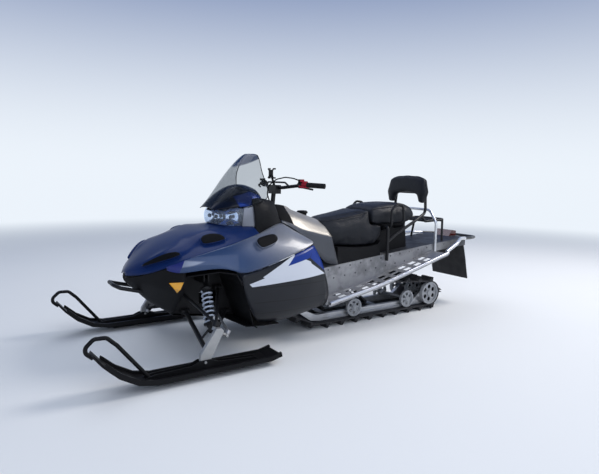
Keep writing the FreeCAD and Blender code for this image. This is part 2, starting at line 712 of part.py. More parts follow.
def tank_cover():
    """Console over the tank, with holes for the steering post and the filler neck."""
    cover = strip_loft([(x, both_sides(line)) for x, line in TANK], -SHELL_WALL)
    cover = cover.cut(prism_xz(list(NOSE_JOINT) + [(-300.0, 568.0), (-300.0, 790.0)], -300, 300))
    for x, radius in (POST_HOLE, (CAP_X, CAP_STEM + 2)):
        turns = [math.radians(22.5 * k) for k in range(16)]
        hole = [(x + radius * math.cos(a), radius * math.sin(a)) for a in turns]
        cover = cover.cut(prism_xy(hole, 700, 900))
    return max(cover.Solids, key=lambda piece: piece.Volume)


def fuel_cap():
    """Low round filler cap on its neck."""
    neck = rod(vec(CAP_X, 0, 744), vec(CAP_X, 0, 792), CAP_STEM)
    seat = rod(vec(CAP_X, 0, 770), vec(CAP_X, 0, 790), CAP_STEM + 7)
    head = rod(vec(CAP_X, 0, 788), vec(CAP_X, 0, 807), CAP_STEM + 7)
    return fused([neck, seat, head]).cut(tank_cover())


def front_bumper():
    """Black tube loop ahead of the nose."""
    reach = 1330.0
    half = [(1150.0, 92.0, 372.0), (1290.0, 84.0, 410.0), (reach - 11, 52.0, 424.0)]
    return bent_rod(half + [(x, -y, z) for x, y, z in reversed(half)], 11, 24)


def marker_lamp():
    """Three-cornered amber lamp set in the side of the nose."""
    outline = [(1082.0, 456.0), (1016.0, 462.0), (1038.0, 396.0)]
    skin = strip_loft([(x, both_sides(line)) for x, line in NOSE], -LAMP_PROUD)
    return skin.common(prism_xz(outline, 200, 400))


# Seat and rack

# columns: x, half width, top z, low z
DRIVER_SEAT = ((-30.0, 106.0, 756.0, 700.0), (-60.0, 118.0, 757.0, 640.0), (-100.0, 134.0, 762.0, 574.0),
               (-150.0, 152.0, 768.0, 562.0), (-300.0, 172.0, 792.0, 550.0), (-420.0, 182.0, 812.0, 550.0),
               (-500.0, 186.0, 826.0, 562.0), (-556.0, 182.0, 832.0, 624.0))
REAR_SEAT = ((-455.0, 178.0, 828.0, 716.0), (-520.0, 188.0, 842.0, 704.0), (-620.0, 192.0, 853.0, 702.0),
             (-720.0, 192.0, 856.0, 702.0), (-820.0, 184.0, 851.0, 708.0), (-890.0, 164.0, 832.0, 722.0),
             (-930.0, 134.0, 800.0, 746.0))
BASE_TOP = ((-135.0, 565.0), (-300.0, 550.0), (-420.0, 550.0), (-500.0, 562.0), (-526.0, 590.0))


def seat_slice(half, top, low):
    return [(-half, low), (half, low), (half + 8, (top + low) / 2), (half - 26, top - 14),
            (half * 0.45, top - 4), (0, top - 2), (-half * 0.45, top - 4), (-half + 26, top - 14),
            (-half - 8, (top + low) / 2)]


def seat_part(rows):
    return solid_loft([(x, seat_slice(half, top, low)) for x, half, top, low in rows])


def seat_driver():
    """Saddle between console and passenger cushion, with a raked nose."""
    front_x, rear_x = NOSE_JOINT[0][0], REAR_SEAT[0][0]
    (top_x, top_z), (low_x, low_z) = NOSE_JOINT
    nose = [(top_x - 0.4, top_z), (low_x - 0.4, low_z), (low_x + 60, 500.0), (front_x + 80, 500.0), (front_x + 80, top_z)]
    step = block(-700, rear_x + RUN_FIT, -300, 300, REAR_SEAT[3][3] - RUN_FIT, 900)
    return seat_part(DRIVER_SEAT).cut(prism_xz(nose, -300, 300)).cut(step)


def seat_passenger():
    return seat_part(REAR_SEAT)


def seat_base():
    """Black plastic base: full width under the saddle, a narrow box under the rear cushion."""
    top = [(x, z - RUN_FIT) for x, z in BASE_TOP]
    wide = prism_xz([(-135.0 - RUN_FIT, 430.0)] + top + [(-526.0, 430.0)], -SEAT_SIDE, SEAT_SIDE)
    rear = [(-500.0, 430.0), (-500.0, 701.0), (-840.0, 701.0), (-862.0, 500.0)]
    narrow = prism_xz(rear, -124, 124)
    base = fused([wide, narrow]).cut(seat_driver()).cut(seat_passenger()).cut(under_roof())
    return max(base.Solids, key=lambda piece: piece.Volume)


def backrest_pad():
    outline = [(-200, 850), (-150, 846), (-120, 905), (0, 922), (120, 905), (150, 846), (200, 850),
               (226, 940), (190, 1045), (110, 1070), (0, 1074), (-110, 1070), (-190, 1045), (-226, 940)]
    pad = prism_yz(outline, -25, 25)
    pad.rotate(vec(0, 0, 930), vec(0, 1, 0), -4)
    return pad.translated(vec(-976, 0, 0))


def backrest_frame():
    """A post up each side of the tunnel, and a tube from it back past the seat and up behind the pad."""
    parts = []
    y = max(TUNNEL_HALF, SEAT_SIDE) + RUN_FIT + 11
    for side in (-1, 1):
        post = [(-574.0, side * y, 440.0), (-574.0, side * y, 688.0), (-574.0, side * 110.0, 688.0)]
        parts.append(bent_rod(post, 11, 24))
        points = [(-574.0, side * y, 580.0), (-668.0, side * 214.0, 630.0), (-856.0, side * 206.0, 716.0),
                  (-1009.0, side * 172.0, 776.0), (-1018.0, side * 150.0, 1010.0)]
        parts.append(bent_rod(points, 11, 60))
    parts.append(rod(vec(-1012, -158, 930), vec(-1012, 158, 930), 9))
    return fused(parts).cut(seat_base())


def grab_handles():
    """A hand loop each side of the rear cushion, rooted in the seat base."""
    handles = []
    for side in (-1, 1):
        points = [(-604.0, side * 118.0, 660.0), (-604.0, side * 226.0, 690.0), (-600.0, side * 229.0, 810.0),
                  (-640.0, side * 229.0, 852.0), (-712.0, side * 229.0, 844.0), (-732.0, side * 226.0, 690.0),
                  (-730.0, side * 118.0, 672.0)]
        handles.append(bent_rod(points, 9, 36))
    return Part.makeCompound(handles).cut(seat_base())


def rear_hoop():
    """Alloy arch over the tunnel that carries the rack's front."""
    half = [(-1080.0, TUNNEL_HALF + 10.3, 474.0), (-1080.0, TUNNEL_HALF + 10.3, 700.0), (-1080.0, 150.0, 796.0)]
    return bent_rod(half + [(x, -y, z) for x, y, z in reversed(half)], 10, 70)


def rack():
    """Black tube platform behind the backrest with its rear legs."""
    z, rear = 706.0, -1262.0
    half = [(-952.0, 184.0, 754.0), (-1030.0, 150.0, z), (rear, 150.0, z + 8)]
    frame = bent_rod(half + [(x, -y, zz) for x, y, zz in reversed(half)], 10, 50)
    parts = [frame]
    for x in (-1060.0, -1150.0, -1220.0):
        parts.append(rod(vec(x, -150, z), vec(x, 150, z), 8))
    for side in (-1, 1):
        parts.append(rod(vec(rear + 30, side * 150, z + 6), vec(rear + 50, side * 170, 536), 9))
    return fused(parts).cut(under_roof()).cut(backrest_frame())


# Front suspension, steering and skis

BALL_LOW = vec(958.0, STANCE_HALF - 35.0, 122.0)
BALL_TOP = vec(894.0, STANCE_HALF - 48.0, 252.0)
STEER_DIR = (BALL_TOP - BALL_LOW).normalize()
EYE_HALF = 16.0
EYE_RADIUS = 19.0
SHELF_DROP = 27.0
CASTING_Y = STANCE_HALF - 13.0
CASTING_WIDE = 26.0
TIE_OUTER = vec(822.0, STANCE_HALF - 54.0, 196.0)
TIE_INNER = vec(786.0, 70.0, 330.0)
TIE_PIN = 6.0
SHOCK_TOP = vec(859.0, 262.0, 440.0)
SHOCK_LOW = vec(895.0, STANCE_HALF - 122.0, 196.0)
SHOCK_BOLT = 8.0
CHASSIS_HALF = 130.0
PIVOT_Y = CHASSIS_HALF + 24.0
PIVOT_BARREL = 16.0
PIVOT_LONG = 20.0
# columns: x, z of each inner pivot of the lower and the upper arm
LOWER_PIVOTS = ((940.0, 246.0), (690.0, 212.0))
UPPER_PIVOTS = ((975.0, 376.0), (735.0, 368.0))


def pivot_tabs(x, z):
    """The pair of chassis tabs on either side of an arm's barrel."""
    tabs = []
    for side in (-1, 1):
        x0 = x + side * (PIVOT_LONG + 3) - 3
        tabs.append(block(x0, x0 + 6, CHASSIS_HALF - 2, PIVOT_Y + 14, z - 14, z + 14))
    return tabs


def a_arm(ball, pivots, leg):
    """One A-arm: an eye on the steering axis and a leg to each chassis pivot."""
    half = STEER_DIR * EYE_HALF
    parts = [rod(ball - half, ball + half, EYE_RADIUS)]
    for x, z in pivots:
        parts.append(rod(ball, vec(x, PIVOT_Y, z), leg))
        parts.append(rod(vec(x - PIVOT_LONG, PIVOT_Y, z), vec(x + PIVOT_LONG, PIVOT_Y, z), PIVOT_BARREL))
    whole = fused(parts).cut(rod(ball - half * 2, ball + half * 2, PIN_RADIUS + PIN_FIT))
    for x, z in pivots:
        whole = whole.cut(rod(vec(x - 40, PIVOT_Y, z), vec(x + 40, PIVOT_Y, z), SHOCK_BOLT))
        for tab in pivot_tabs(x, z):
            whole = whole.cut(tab)
    return whole


def a_arms():
    """Lower arm with the shock's foot, and upper arm above it."""
    lower = a_arm(BALL_LOW, LOWER_PIVOTS, ARM_RADIUS)
    feet = []
    for side, (x, z) in zip((1, -1), LOWER_PIVOTS):
        foot = BALL_LOW + (vec(x, PIVOT_Y, z) - BALL_LOW) * 0.25
        feet.append(rod(foot, SHOCK_LOW + vec(side * 16, 0, 0), 7))
    feet = fused(feet).cut(rod(SHOCK_LOW - vec(9.2, 0, 0), SHOCK_LOW + vec(9.2, 0, 0), SHOCK_RADIUS + 2))
    bolt = rod(SHOCK_LOW - vec(20, 0, 0), SHOCK_LOW + vec(20, 0, 0), SHOCK_BOLT)
    return Part.makeCompound([fused([lower, feet, bolt]), a_arm(BALL_TOP, UPPER_PIVOTS, ARM_RADIUS - 4)])


def shock():
    """Damper with an eye at each end, inside its close-wound coil spring."""
    run = SHOCK_TOP - SHOCK_LOW
    parts = [rod(SHOCK_LOW + run * 0.04, SHOCK_LOW + run * 0.62, SHOCK_RADIUS - 2)]
    parts.append(rod(SHOCK_LOW + run * 0.6, SHOCK_LOW + run * 0.97, 8))
    for end in (SHOCK_LOW, SHOCK_TOP):
        parts.append(rod(end - vec(9, 0, 0), end + vec(9, 0, 0), 15))
    start, length, turns = 0.18, 0.68, 7
    pitch = run.Length * length / turns
    core = SPRING_OUTER - SPRING_WIRE * 0.7
    outline = [(0.0, 0.0), (SPRING_OUTER, 0.0)]
    for k in range(turns):
        low = k * pitch
        outline += [(SPRING_OUTER, low + pitch * 0.2), (core, low + pitch * 0.45),
                    (core, low + pitch * 0.75), (SPRING_OUTER, low + pitch)]
    outline.append((0.0, turns * pitch))
    coil = face_of([vec(r, 0, z) for r, z in outline]).revolve(vec(0, 0, 0), vec(0, 0, 1), 360)
    coil.Placement = FreeCAD.Placement(SHOCK_LOW + run * start, FreeCAD.Rotation(vec(0, 0, 1), run))
    whole = fused(parts + [coil])
    for end in (SHOCK_LOW, SHOCK_TOP):
        whole = whole.cut(rod(end - vec(30, 0, 0), end + vec(30, 0, 0), SHOCK_BOLT))
        for side in (-1, 1):
            tab = end + vec(side * 19.2, 0, 0)
            whole = whole.cut(rod(tab - vec(10, 0, 0), tab + vec(10, 0, 0), SHOCK_RADIUS + 4))
    return whole


def spindle():
    """Cast upright outside the ball joints, with shelf pins, steering arm and ski bolt."""
    outer = CASTING_Y + CASTING_WIDE
    parts = []
    for ball in (BALL_LOW, BALL_TOP):
        shelf = ball - STEER_DIR * SHELF_DROP
        parts.append(rod(shelf, ball + STEER_DIR * EYE_HALF, PIN_RADIUS))
        parts.append(rod(shelf - STEER_DIR * 8, ball - STEER_DIR * (EYE_HALF + 1), 13))
        parts.append(rod(shelf, vec(shelf.x, outer - 4, shelf.z), 9))
    low = BALL_LOW - STEER_DIR * SHELF_DROP
    high = BALL_TOP - STEER_DIR * SHELF_DROP
    casting = [(SKI_BOLT_X + 20, 62.0), (SKI_BOLT_X - 20, 62.0), (low.x - 34, low.z + 12),
               (high.x - 30, high.z - 2), (high.x - 16, high.z + 16), (high.x + 12, high.z + 16),
               (low.x + 34, low.z + 20), (SKI_BOLT_X + 24, 84.0)]
    parts.append(prism_xz(casting, CASTING_Y, outer))
    root = BALL_TOP - STEER_DIR * SHELF_DROP
    tie = TIE_OUTER - STEER_DIR * 12
    parts.append(rod(vec(root.x - 6, CASTING_Y + 6, root.z - 8), tie - STEER_DIR * 9, 8))
    parts.append(rod(tie - STEER_DIR * 16, tie - STEER_DIR * 1, 12))
    parts.append(rod(tie - STEER_DIR * 4, TIE_OUTER + STEER_DIR * 11, TIE_PIN))
    bolt = rod(vec(SKI_BOLT_X, STANCE_HALF - 26, 78), vec(SKI_BOLT_X, STANCE_HALF + 26, 78), 7)
    return fused(parts + [bolt])


def tie_rod():
    """Steering link with an eye on the steering arm's pin; its inner end runs in the chassis."""
    half = STEER_DIR * 10
    parts = [rod(TIE_OUTER - half, TIE_OUTER + half, 13), rod(TIE_OUTER, TIE_INNER, TIE_RADIUS)]
    return fused(parts).cut(rod(TIE_OUTER - half * 2, TIE_OUTER + half * 2, TIE_PIN + PIN_FIT))


def ski():
    """Plastic ski: curved plate, raised edges, keel, wear bar, saddle walls and hand loop."""
    base = WEAR_BAR + KEEL_DEPTH
    line = ((550.0, base + 16), (620.0, base), (1250.0, base), (1340.0, base + 18), (1430.0, base + 70),
            (1500.0, base + 134), (1540.0, base + 184))
    plate = prism_xz(band(line, -SKI_PLATE), -SKI_WIDTH / 2, SKI_WIDTH / 2)
    parts = [plate]
    inner = CASTING_WIDE / 2 + SEAM
    for side in (-1, 1):
        y0 = side * (SKI_WIDTH / 2 - 7) - 7
        parts.append(prism_xz(band(line[:-1], -SKI_PLATE - 14), y0, y0 + 14))
        saddle = [(660.0, base + 4), (1320.0, base + 20), (1250.0, base + 34), (1060.0, base + 40),
                  (1016.0, 88.0), (954.0, 88.0), (910.0, base + 40), (700.0, base + 26)]
        y0 = side * (inner + 4) - 4
        wall = prism_xz(saddle, y0, y0 + 8)
        parts.append(wall.cut(rod(vec(SKI_BOLT_X, -60, 78), vec(SKI_BOLT_X, 60, 78), 7)))
    keel = [(640.0, base), (670.0, WEAR_BAR), (1230.0, WEAR_BAR), (1330.0, base + 15.5), (1250.0, base + 2)]
    parts.append(prism_xz(keel, -KEEL_WIDTH / 2, KEEL_WIDTH / 2))
    wear = [(710.0, 0.0), (1190.0, 0.0), (1210.0, WEAR_BAR), (690.0, WEAR_BAR)]
    parts.append(prism_xz(wear, -5, 5))
    wide = SKI_WIDTH / 2 + 5
    half = ((500.0, wide), (1380.0, wide), (1470.0, wide - 12), (1530.0, 44.0), (1552.0, 16.0))
    tip = list(half) + [(x, -y) for x, y in reversed(half)]
    blade = fused(parts).common(prism_xy(tip, -10, 400))
    loop = ((1262.0, 0.0, base + 8), (1420.0, 0.0, 240.0), (1466.0, 0.0, 284.0), (1522.0, 0.0, 286.0),
            (FRONT_REACH - LOOP_RADIUS, 0.0, 250.0), (FRONT_REACH - LOOP_RADIUS, 0.0, 224.0),
            (1528.0, 0.0, base + 166))
    hand = bent_rod(loop, LOOP_RADIUS, 30)
    return blade.fuse(hand).removeSplitter().translated(vec(0, STANCE_HALF, 0))


POST_BASE = vec(315.4, 0.0, 403.0)
POST_TOP = vec(259.0, 0.0, 956.0)
CLAMP = vec(256.0, 0.0, 968.0)
# columns: x, y, z of the left half of the bar, from its end to its clamp
BAR_HALF = ((112.0, 372.0, 984.0), (186.0, 262.0, 990.0), (248.0, 92.0, 968.0))
GRIP_LONG = 118.0


def handlebar():
    """Black bar with a brace, clamped in the riser of the steering post that it turns with."""
    points = list(BAR_HALF) + [(x, -y, z) for x, y, z in reversed(BAR_HALF)]
    bar = bent_rod(points, BAR_RADIUS, 60)
    lean = (POST_TOP - POST_BASE).normalize()
    brace_z = CLAMP.z + 34
    brace = bent_rod(((232.0, 150.0, 976.0), (240.0, 110.0, brace_z), (240.0, -110.0, brace_z),
                      (232.0, -150.0, 976.0)), 6, 20)
    riser = block(POST_TOP.x - 26, POST_TOP.x + 16, -48, 48, 926, CLAMP.z + 16)
    return fused([bar, brace, rod(POST_BASE + lean * 4, POST_TOP, POST_RADIUS), riser])


def bar_end(side):
    tip = vec(BAR_HALF[0][0], side * BAR_HALF[0][1], BAR_HALF[0][2])
    bend = vec(BAR_HALF[1][0], side * BAR_HALF[1][1], BAR_HALF[1][2])
    return tip, (bend - tip).normalize()


def grips():
    sleeves = []
    for side in (-1, 1):
        tip, along = bar_end(side)
        sleeves.append(ring(tip - along * 3, tip + along * GRIP_LONG, GRIP_RADIUS, BAR_RADIUS))
    return Part.makeCompound(sleeves)


def controls():
    """Switch block with brake lever at the left, throttle block with thumb lever at the right."""
    blocks = []
    for side in (-1, 1):
        tip, along = bar_end(side)
        start = tip + along * (GRIP_LONG + SEAM)
        end = start + along * 54
        sleeve = ring(start, end, 24, BAR_RADIUS)
        top = rod(start + along * 27 + vec(14, 0, 18), start + along * 27 + vec(14, 0, 34), 20)
        bore = rod(start - along * 5, end + along * 5, BAR_RADIUS)
        pivot = start + along * 34 + vec(26, 0, -2)
        reach = -along * (110 if side > 0 else 62)
        lever = bent_rod((tuple(pivot), tuple(pivot + reach * 0.25 + vec(22, 0, -10)),
                          tuple(pivot + reach + vec(12, 0, -22))), 6, 40)
        arm = rod(start + along * 34, pivot + vec(4, 0, 0), 12)
        blocks.append(fused([sleeve, top, arm, lever]).cut(bore))
    return Part.makeCompound(blocks).cut(handlebar())


def phone_holder():
    """Ball-headed stalk on the clamp with four short claws."""
    foot = vec(CLAMP.x - 4, -14, CLAMP.z + 16)
    head = foot + vec(20, 0, 62)
    parts = [rod(foot, foot + vec(0, 0, 8), 9), rod(foot + vec(0, 0, 7), head, 7), Part.makeSphere(13, head)]
    plate = head + vec(4, 0, 14)
    parts.append(block(plate.x - 5, plate.x + 5, plate.y - 22, plate.y + 22, plate.z - 26, plate.z + 24))
    for dy, dz in ((-34, -30), (34, -30), (-34, 30), (34, 30)):
        end = plate + vec(0, dy, dz)
        parts.append(rod(plate, end, 5))
        parts.append(rod(end, end - vec(16, 0, 0), 5))
    return fused(parts)


HOSE = ((211.0, 229.5, 1018.0), (232.0, 196.0, 1030.0), (268.0, 158.0, 1036.0), (308.0, 114.0, 1022.0),
        (336.0, 66.0, 982.0), (330.0, 34.0, 926.0), (304.0, 22.0, 874.0), (292.0, 18.4, 818.0),
        (288.9, 16.2, 765.0))
HOSE_RADIUS = 4.0


def brake_hose():
    return bent_rod(HOSE, HOSE_RADIUS, 60)


def pair(shape):
    return Part.makeCompound([shape, mirrored(shape)])


def main():
    os.makedirs("parts", exist_ok=True)
    nodes = {
        "track": track(),
        "drive_axle": drive_axle(),
        "idler_wheels": Part.makeCompound([rear_wheels(), bogie_wheels()]),
        "skid_rails": skid_rails(),
        "skid_arms": skid_arms(),
        "tunnel": tunnel(),
        "running_boards": pair(running_board()),
        "rear_bumper": rear_bumper(),
        "snow_flap": snow_flap(),
        "tail_light": tail_light(),
        "hitch": hitch(),
        "hood": hood(),
        "nose": nose(),
        "upper_sides": pair(upper_side()),
        "lower_sides": pair(lower_side()),
        "belly_pan": belly_pan(),
        "bulkhead": bulkhead(),
        "engine": engine(),
        "headlight": headlight(),
        "marker_lamps": pair(marker_lamp()),
        "pod": pod(),
        "pod_sides": pair(pod_side()),
        "windshield": windshield(),
        "tank_cover": tank_cover(),
        "fuel_cap": fuel_cap(),
        "front_bumper": front_bumper(),
        "a_arms": pair(a_arms()),
        "shocks": pair(shock()),
        "handlebar": handlebar(),
        "grips": grips(),
        "controls": controls(),
        "phone_holder": phone_holder(),
        "brake_hose": brake_hose(),
        "seat_driver": seat_driver(),
        "seat_passenger": seat_passenger(),
        "seat_base": seat_base(),
        "backrest_pad": backrest_pad(),
        "backrest_frame": backrest_frame(),
        "grab_handles": grab_handles(),
        "rear_hoop": rear_hoop(),
        "rack": rack(),
    }
    for name, shape in (("spindle", spindle()), ("tie_rod", tie_rod()), ("ski", ski())):
        nodes[name + "_left"] = shape
        nodes[name + "_right"] = mirrored(shape)
    for name, shape in nodes.items():
        moved = shape.translated(vec(DATUM_SHIFT, 0, 0))
        moved.exportStep("parts/" + name + ".step")


main()
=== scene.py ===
import bpy
import bmesh
import math
from mathutils import Matrix, Vector
from mathutils.bvhtree import BVHTree
from mathutils.kdtree import KDTree


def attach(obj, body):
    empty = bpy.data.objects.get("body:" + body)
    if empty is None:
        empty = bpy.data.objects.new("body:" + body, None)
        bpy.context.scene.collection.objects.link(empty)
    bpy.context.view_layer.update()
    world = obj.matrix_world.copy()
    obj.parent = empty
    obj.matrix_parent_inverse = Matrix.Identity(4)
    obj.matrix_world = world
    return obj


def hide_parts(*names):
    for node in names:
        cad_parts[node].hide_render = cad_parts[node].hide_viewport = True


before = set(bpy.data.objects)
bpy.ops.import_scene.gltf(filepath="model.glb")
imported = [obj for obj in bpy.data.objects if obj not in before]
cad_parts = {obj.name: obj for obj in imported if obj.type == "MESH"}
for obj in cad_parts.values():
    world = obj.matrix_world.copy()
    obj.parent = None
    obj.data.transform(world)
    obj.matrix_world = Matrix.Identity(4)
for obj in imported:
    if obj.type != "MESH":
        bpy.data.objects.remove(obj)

# Studio. A pale floor under a sky that deepens overhead, with a small warm lamp low behind the
# machine and soft cool ones at its sides, as on a clear winter day. The camera stands in front
# of the left ski at head height.
scene = bpy.context.scene
scene.view_settings.view_transform = "Standard"
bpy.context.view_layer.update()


class Wire:
    """One output of a shader node; sums on it add Math nodes to its material."""

    def __init__(self, finish, socket):
        self.finish = finish
        self.socket = socket

    def math(self, operation, *others):
        inputs = dict(enumerate((self,) + others))
        return self.finish.node("Math", {"operation": operation}, inputs)

    def __add__(self, other):
        return self.math("ADD", other)

    __radd__ = __add__

    def __sub__(self, other):
        return self.math("SUBTRACT", other)

    def __rsub__(self, other):
        return self.finish.node("Math", {"operation": "SUBTRACT"}, {0: other, 1: self})

    def __mul__(self, other):
        return self.math("MULTIPLY", other)

    __rmul__ = __mul__

    def step(self, low, high):
        """0 at low, 1 at high, smooth between."""
        return self.finish.node("MapRange", {"interpolation_type": "SMOOTHSTEP"}, {0: self, 1: low, 2: high})


class Finish:
    """A material, or the world's shader, that is put together from nodes."""

    def __init__(self, name, owner=None):
        self.material = owner or bpy.data.materials.new(name)
        self.material.use_nodes = True
        self.tree = self.material.node_tree
        self.tree.nodes.clear()

    def node(self, kind, settings=None, inputs=None, output=0):
        """A node with its settings, then its sockets' values or links. Gives one of its outputs."""
        made = self.tree.nodes.new("ShaderNode" + kind)
        for key, value in (settings or {}).items():
            setattr(made, key, value)
        for key, value in (inputs or {}).items():
            if isinstance(value, Wire):
                self.tree.links.new(value.socket, made.inputs[key])
            else:
                made.inputs[key].default_value = value
        return Wire(self, made.outputs[output]) if made.outputs else None

    def place(self, scale=(1.0, 1.0, 1.0)):
        spot = self.node("TexCoord", output="Object")
        return self.node("Mapping", inputs={0: spot, 3: scale})

    def noise(self, scale, detail=3.0, rough=0.55, spot=None):
        inputs = {"Vector": spot or self.place(), "Scale": scale, "Detail": detail, "Roughness": rough}
        return self.node("TexNoise", inputs=inputs)

    def cells(self, scale, feature="F1", output=0):
        """Voronoi cells: the distance in each, or its colour where the output is 1."""
        inputs = {"Vector": self.place(), "Scale": scale}
        return self.node("TexVoronoi", {"feature": feature}, inputs, output)

    def axes(self, spot=None):
        split = self.node("SeparateXYZ", inputs={0: spot or self.place()})
        return [Wire(self, split.socket.node.outputs[k]) for k in range(3)]

    def mix(self, share, low, high):
        inputs = {"Factor": share, 6: rgba(low), 7: rgba(high)}
        return self.node("Mix", {"data_type": "RGBA"}, inputs, output=2)

    def bump(self, height, strength, reach, before=None):
        inputs = {"Height": height, "Strength": strength, "Distance": reach}
        if before:
            inputs["Normal"] = before
        return self.node("Bump", inputs=inputs)

    def see_through(self, share, pane, tint):
        """A pane that lets most of the light through, tinted."""
        clear = self.node("BsdfTransparent", inputs={0: rgba(tint)})
        return self.show(self.node("MixShader", inputs={0: share, 1: clear, 2: pane}))

    def backdrop_rays(self):
        """1 for what the camera sees, straight, mirrored or through glass, and 0 for the light."""
        seen = self.node("LightPath", output="Is Camera Ray")
        for kind in ("Is Glossy Ray", "Is Transmission Ray"):
            seen = seen.math("MAXIMUM", self.node("LightPath", output=kind))
        return seen

    def shade(self, **sockets):
        """The Principled shader that the finish ends in. Gives the material."""
        names = {key.replace("_", " "): value for key, value in sockets.items()}
        names = {key: rgba(value) if key.endswith("Color") else value for key, value in names.items()}
        return self.show(self.node("BsdfPrincipled", inputs=names))

    def show(self, shell, kind="OutputMaterial"):
        self.node(kind, inputs={0: shell})
        return self.material


def rgba(colour):
    """A colour with its alpha."""
    return colour if isinstance(colour, Wire) or len(colour) == 4 else (*colour, 1.0)


def new_piece(name, mesh, finish, body="root"):
    """A mesh, or a bmesh that is used up by it, as a smooth object that rides on a body."""
    if isinstance(mesh, bmesh.types.BMesh):
        shape = mesh
        mesh = bpy.data.meshes.new(name)
        shape.to_mesh(mesh)
        shape.free()
    made = bpy.data.objects.new(name, mesh)
    scene.collection.objects.link(made)
    mesh.materials.append(finish)
    mesh.polygons.foreach_set("use_smooth", [True] * len(mesh.polygons))
    if body:
        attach(made, body)
    return made


def dress(finish, *nodes):
    """Gives CAD nodes their finish."""
    for name in nodes:
        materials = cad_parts[name].data.materials
        materials.clear()
        materials.append(finish)


horizon = (0.84, 0.90, 0.97, 1.0)
zenith = (0.035, 0.11, 0.34, 1.0)
ground = Finish("studio_floor")
along, across, _ = ground.axes()
far = (along * along + across * across).step(16.0, 90.0)
pale = ground.mix(ground.noise(0.7) * 0.4, (0.82, 0.83, 0.85), (0.74, 0.76, 0.80))
near_floor = ground.node("BsdfPrincipled", inputs={"Base Color": pale, "Roughness": 0.9})
far_floor = ground.node("Emission", inputs={0: horizon, 1: 1.0})
ground.show(ground.node("MixShader", inputs={0: far * ground.backdrop_rays(), 1: near_floor, 2: far_floor}))
shape = bmesh.new()
bmesh.ops.create_grid(shape, x_segments=8, y_segments=8, size=30.0)
bmesh.ops.translate(shape, verts=shape.verts, vec=(0.0, 0.0, -0.0005))
floor = new_piece("floor", shape, ground.material, body=None)

scene.world = bpy.data.worlds.new("studio")
sky = Finish("studio", scene.world)
height = sky.axes(sky.node("TexCoord", output="Generated"))[2]
seen_sky = sky.node("Background", inputs={0: sky.mix(height.step(0.0, 0.52), horizon, zenith)})
soft_light = sky.node("Background", inputs={0: (0.66, 0.78, 1.0, 1.0), 1: 0.45})
either = sky.node("MixShader", inputs={0: sky.backdrop_rays(), 1: soft_light, 2: seen_sky})
sky.show(either, "OutputWorld")

for name, spot, size, watts, colour in (
    ("lamp_sun", (-4.6, 1.4, 4.9), 2.6, 250.0, (1.0, 0.96, 0.90)),
    ("lamp_left", (1.4, 5.0, 3.6), 5.0, 120.0, (0.93, 0.96, 1.0)),
    ("lamp_far", (0.6, -3.0, 5.4), 4.0, 70.0, (0.95, 0.97, 1.0)),
):
    lamp = bpy.data.objects.new(name, bpy.data.lights.new(name, "AREA"))
    scene.collection.objects.link(lamp)
    lamp.data.size = size
    lamp.data.energy = watts
    lamp.data.color = colour
    aim = Vector((0.2, 0.0, 0.45)) - Vector(spot)
    lamp.matrix_world = Matrix.Translation(spot) @ aim.to_track_quat("-Z", "Y").to_matrix().to_4x4()

viewer = bpy.data.objects.new("viewer", bpy.data.cameras.new("viewer"))
scene.collection.objects.link(viewer)
viewer.data.lens = 30.27
viewer.data.sensor_width = 36.0
right = Vector((-0.8383246, 0.5449351, 0.0160510))
ahead = Vector((-0.5426367, -0.8312292, -0.1208449))
stand = Matrix((right, right.cross(ahead), -ahead)).transposed().to_4x4()
viewer.matrix_world = Matrix.Translation((2.0248, 2.92716, 1.04755)) @ stand
scene.camera = viewer

# Track. A moulded black rubber belt with staggered lugs, run over the drive sprockets and
# the rear wheels. It is matt, with a fine grain, and worn smooth and grey in patches.


def rubber(name, colour, grain):
    """Moulded rubber: a fine grain over soft waves, greyer and smoother where it is worn."""
    made = Finish(name)
    coarse = made.noise(22.0, 4.0)
    fine = made.noise(grain, 2.0)
    base = made.mix(coarse, colour, [c * 2.1 + 0.01 for c in colour])
    normal = made.bump(coarse, 0.2, 0.002, made.bump(fine, 0.35, 0.0006))
    return made.shade(Base_Color=base, Roughness=0.75 - coarse * 0.18, Specular_IOR_Level=0.3, Normal=normal)


dress(rubber("track_rubber", (0.016, 0.016, 0.018), 900.0), "track")

# Running gear. Grey moulded wheels on steel axles, alloy rails on black slides, and black
# swing arms. The metal is dull, with fine scratches from ice.


def alloy(name, colour, rough=0.38, along=(1.5, 60.0, 60.0), stain=0.35, cover=None):
    """Bare metal: fine rolling lines, duller stained patches and, where asked, a dark coat and painted shade."""
    made = Finish(name)
    lines = made.noise(9.0, 5.0, 0.7, made.place(along))
    patches = made.noise(7.0, 5.0, 0.6)
    dull = (patches - 0.45).step(0.0, 0.22) * stain
    base = made.mix(dull, colour, [c * 0.5 for c in colour])
    metal = 0.95 - dull * 0.4
    if cover:
        share = cover(made)
        base = made.mix(share, base, (0.012, 0.014, 0.020))
        metal = metal * (1.0 - share)
    return made.shade(Base_Color=base, Metallic=metal, Roughness=rough + lines * 0.16 + dull * 0.25,
                      Normal=made.bump(lines, 0.16, 0.0006))


def coated(name, colour, rough=0.36):
    """Powder coat on steel tube: a fine orange peel with duller handled patches."""
    made = Finish(name)
    peel = made.noise(520.0, 2.0)
    patches = made.noise(14.0, 4.0)
    base = made.mix(patches, colour, [c * 1.7 + 0.004 for c in colour])
    return made.shade(Base_Color=base, Roughness=rough + patches * 0.16, Specular_IOR_Level=0.3,
                      Normal=made.bump(peel, 0.12, 0.0004))


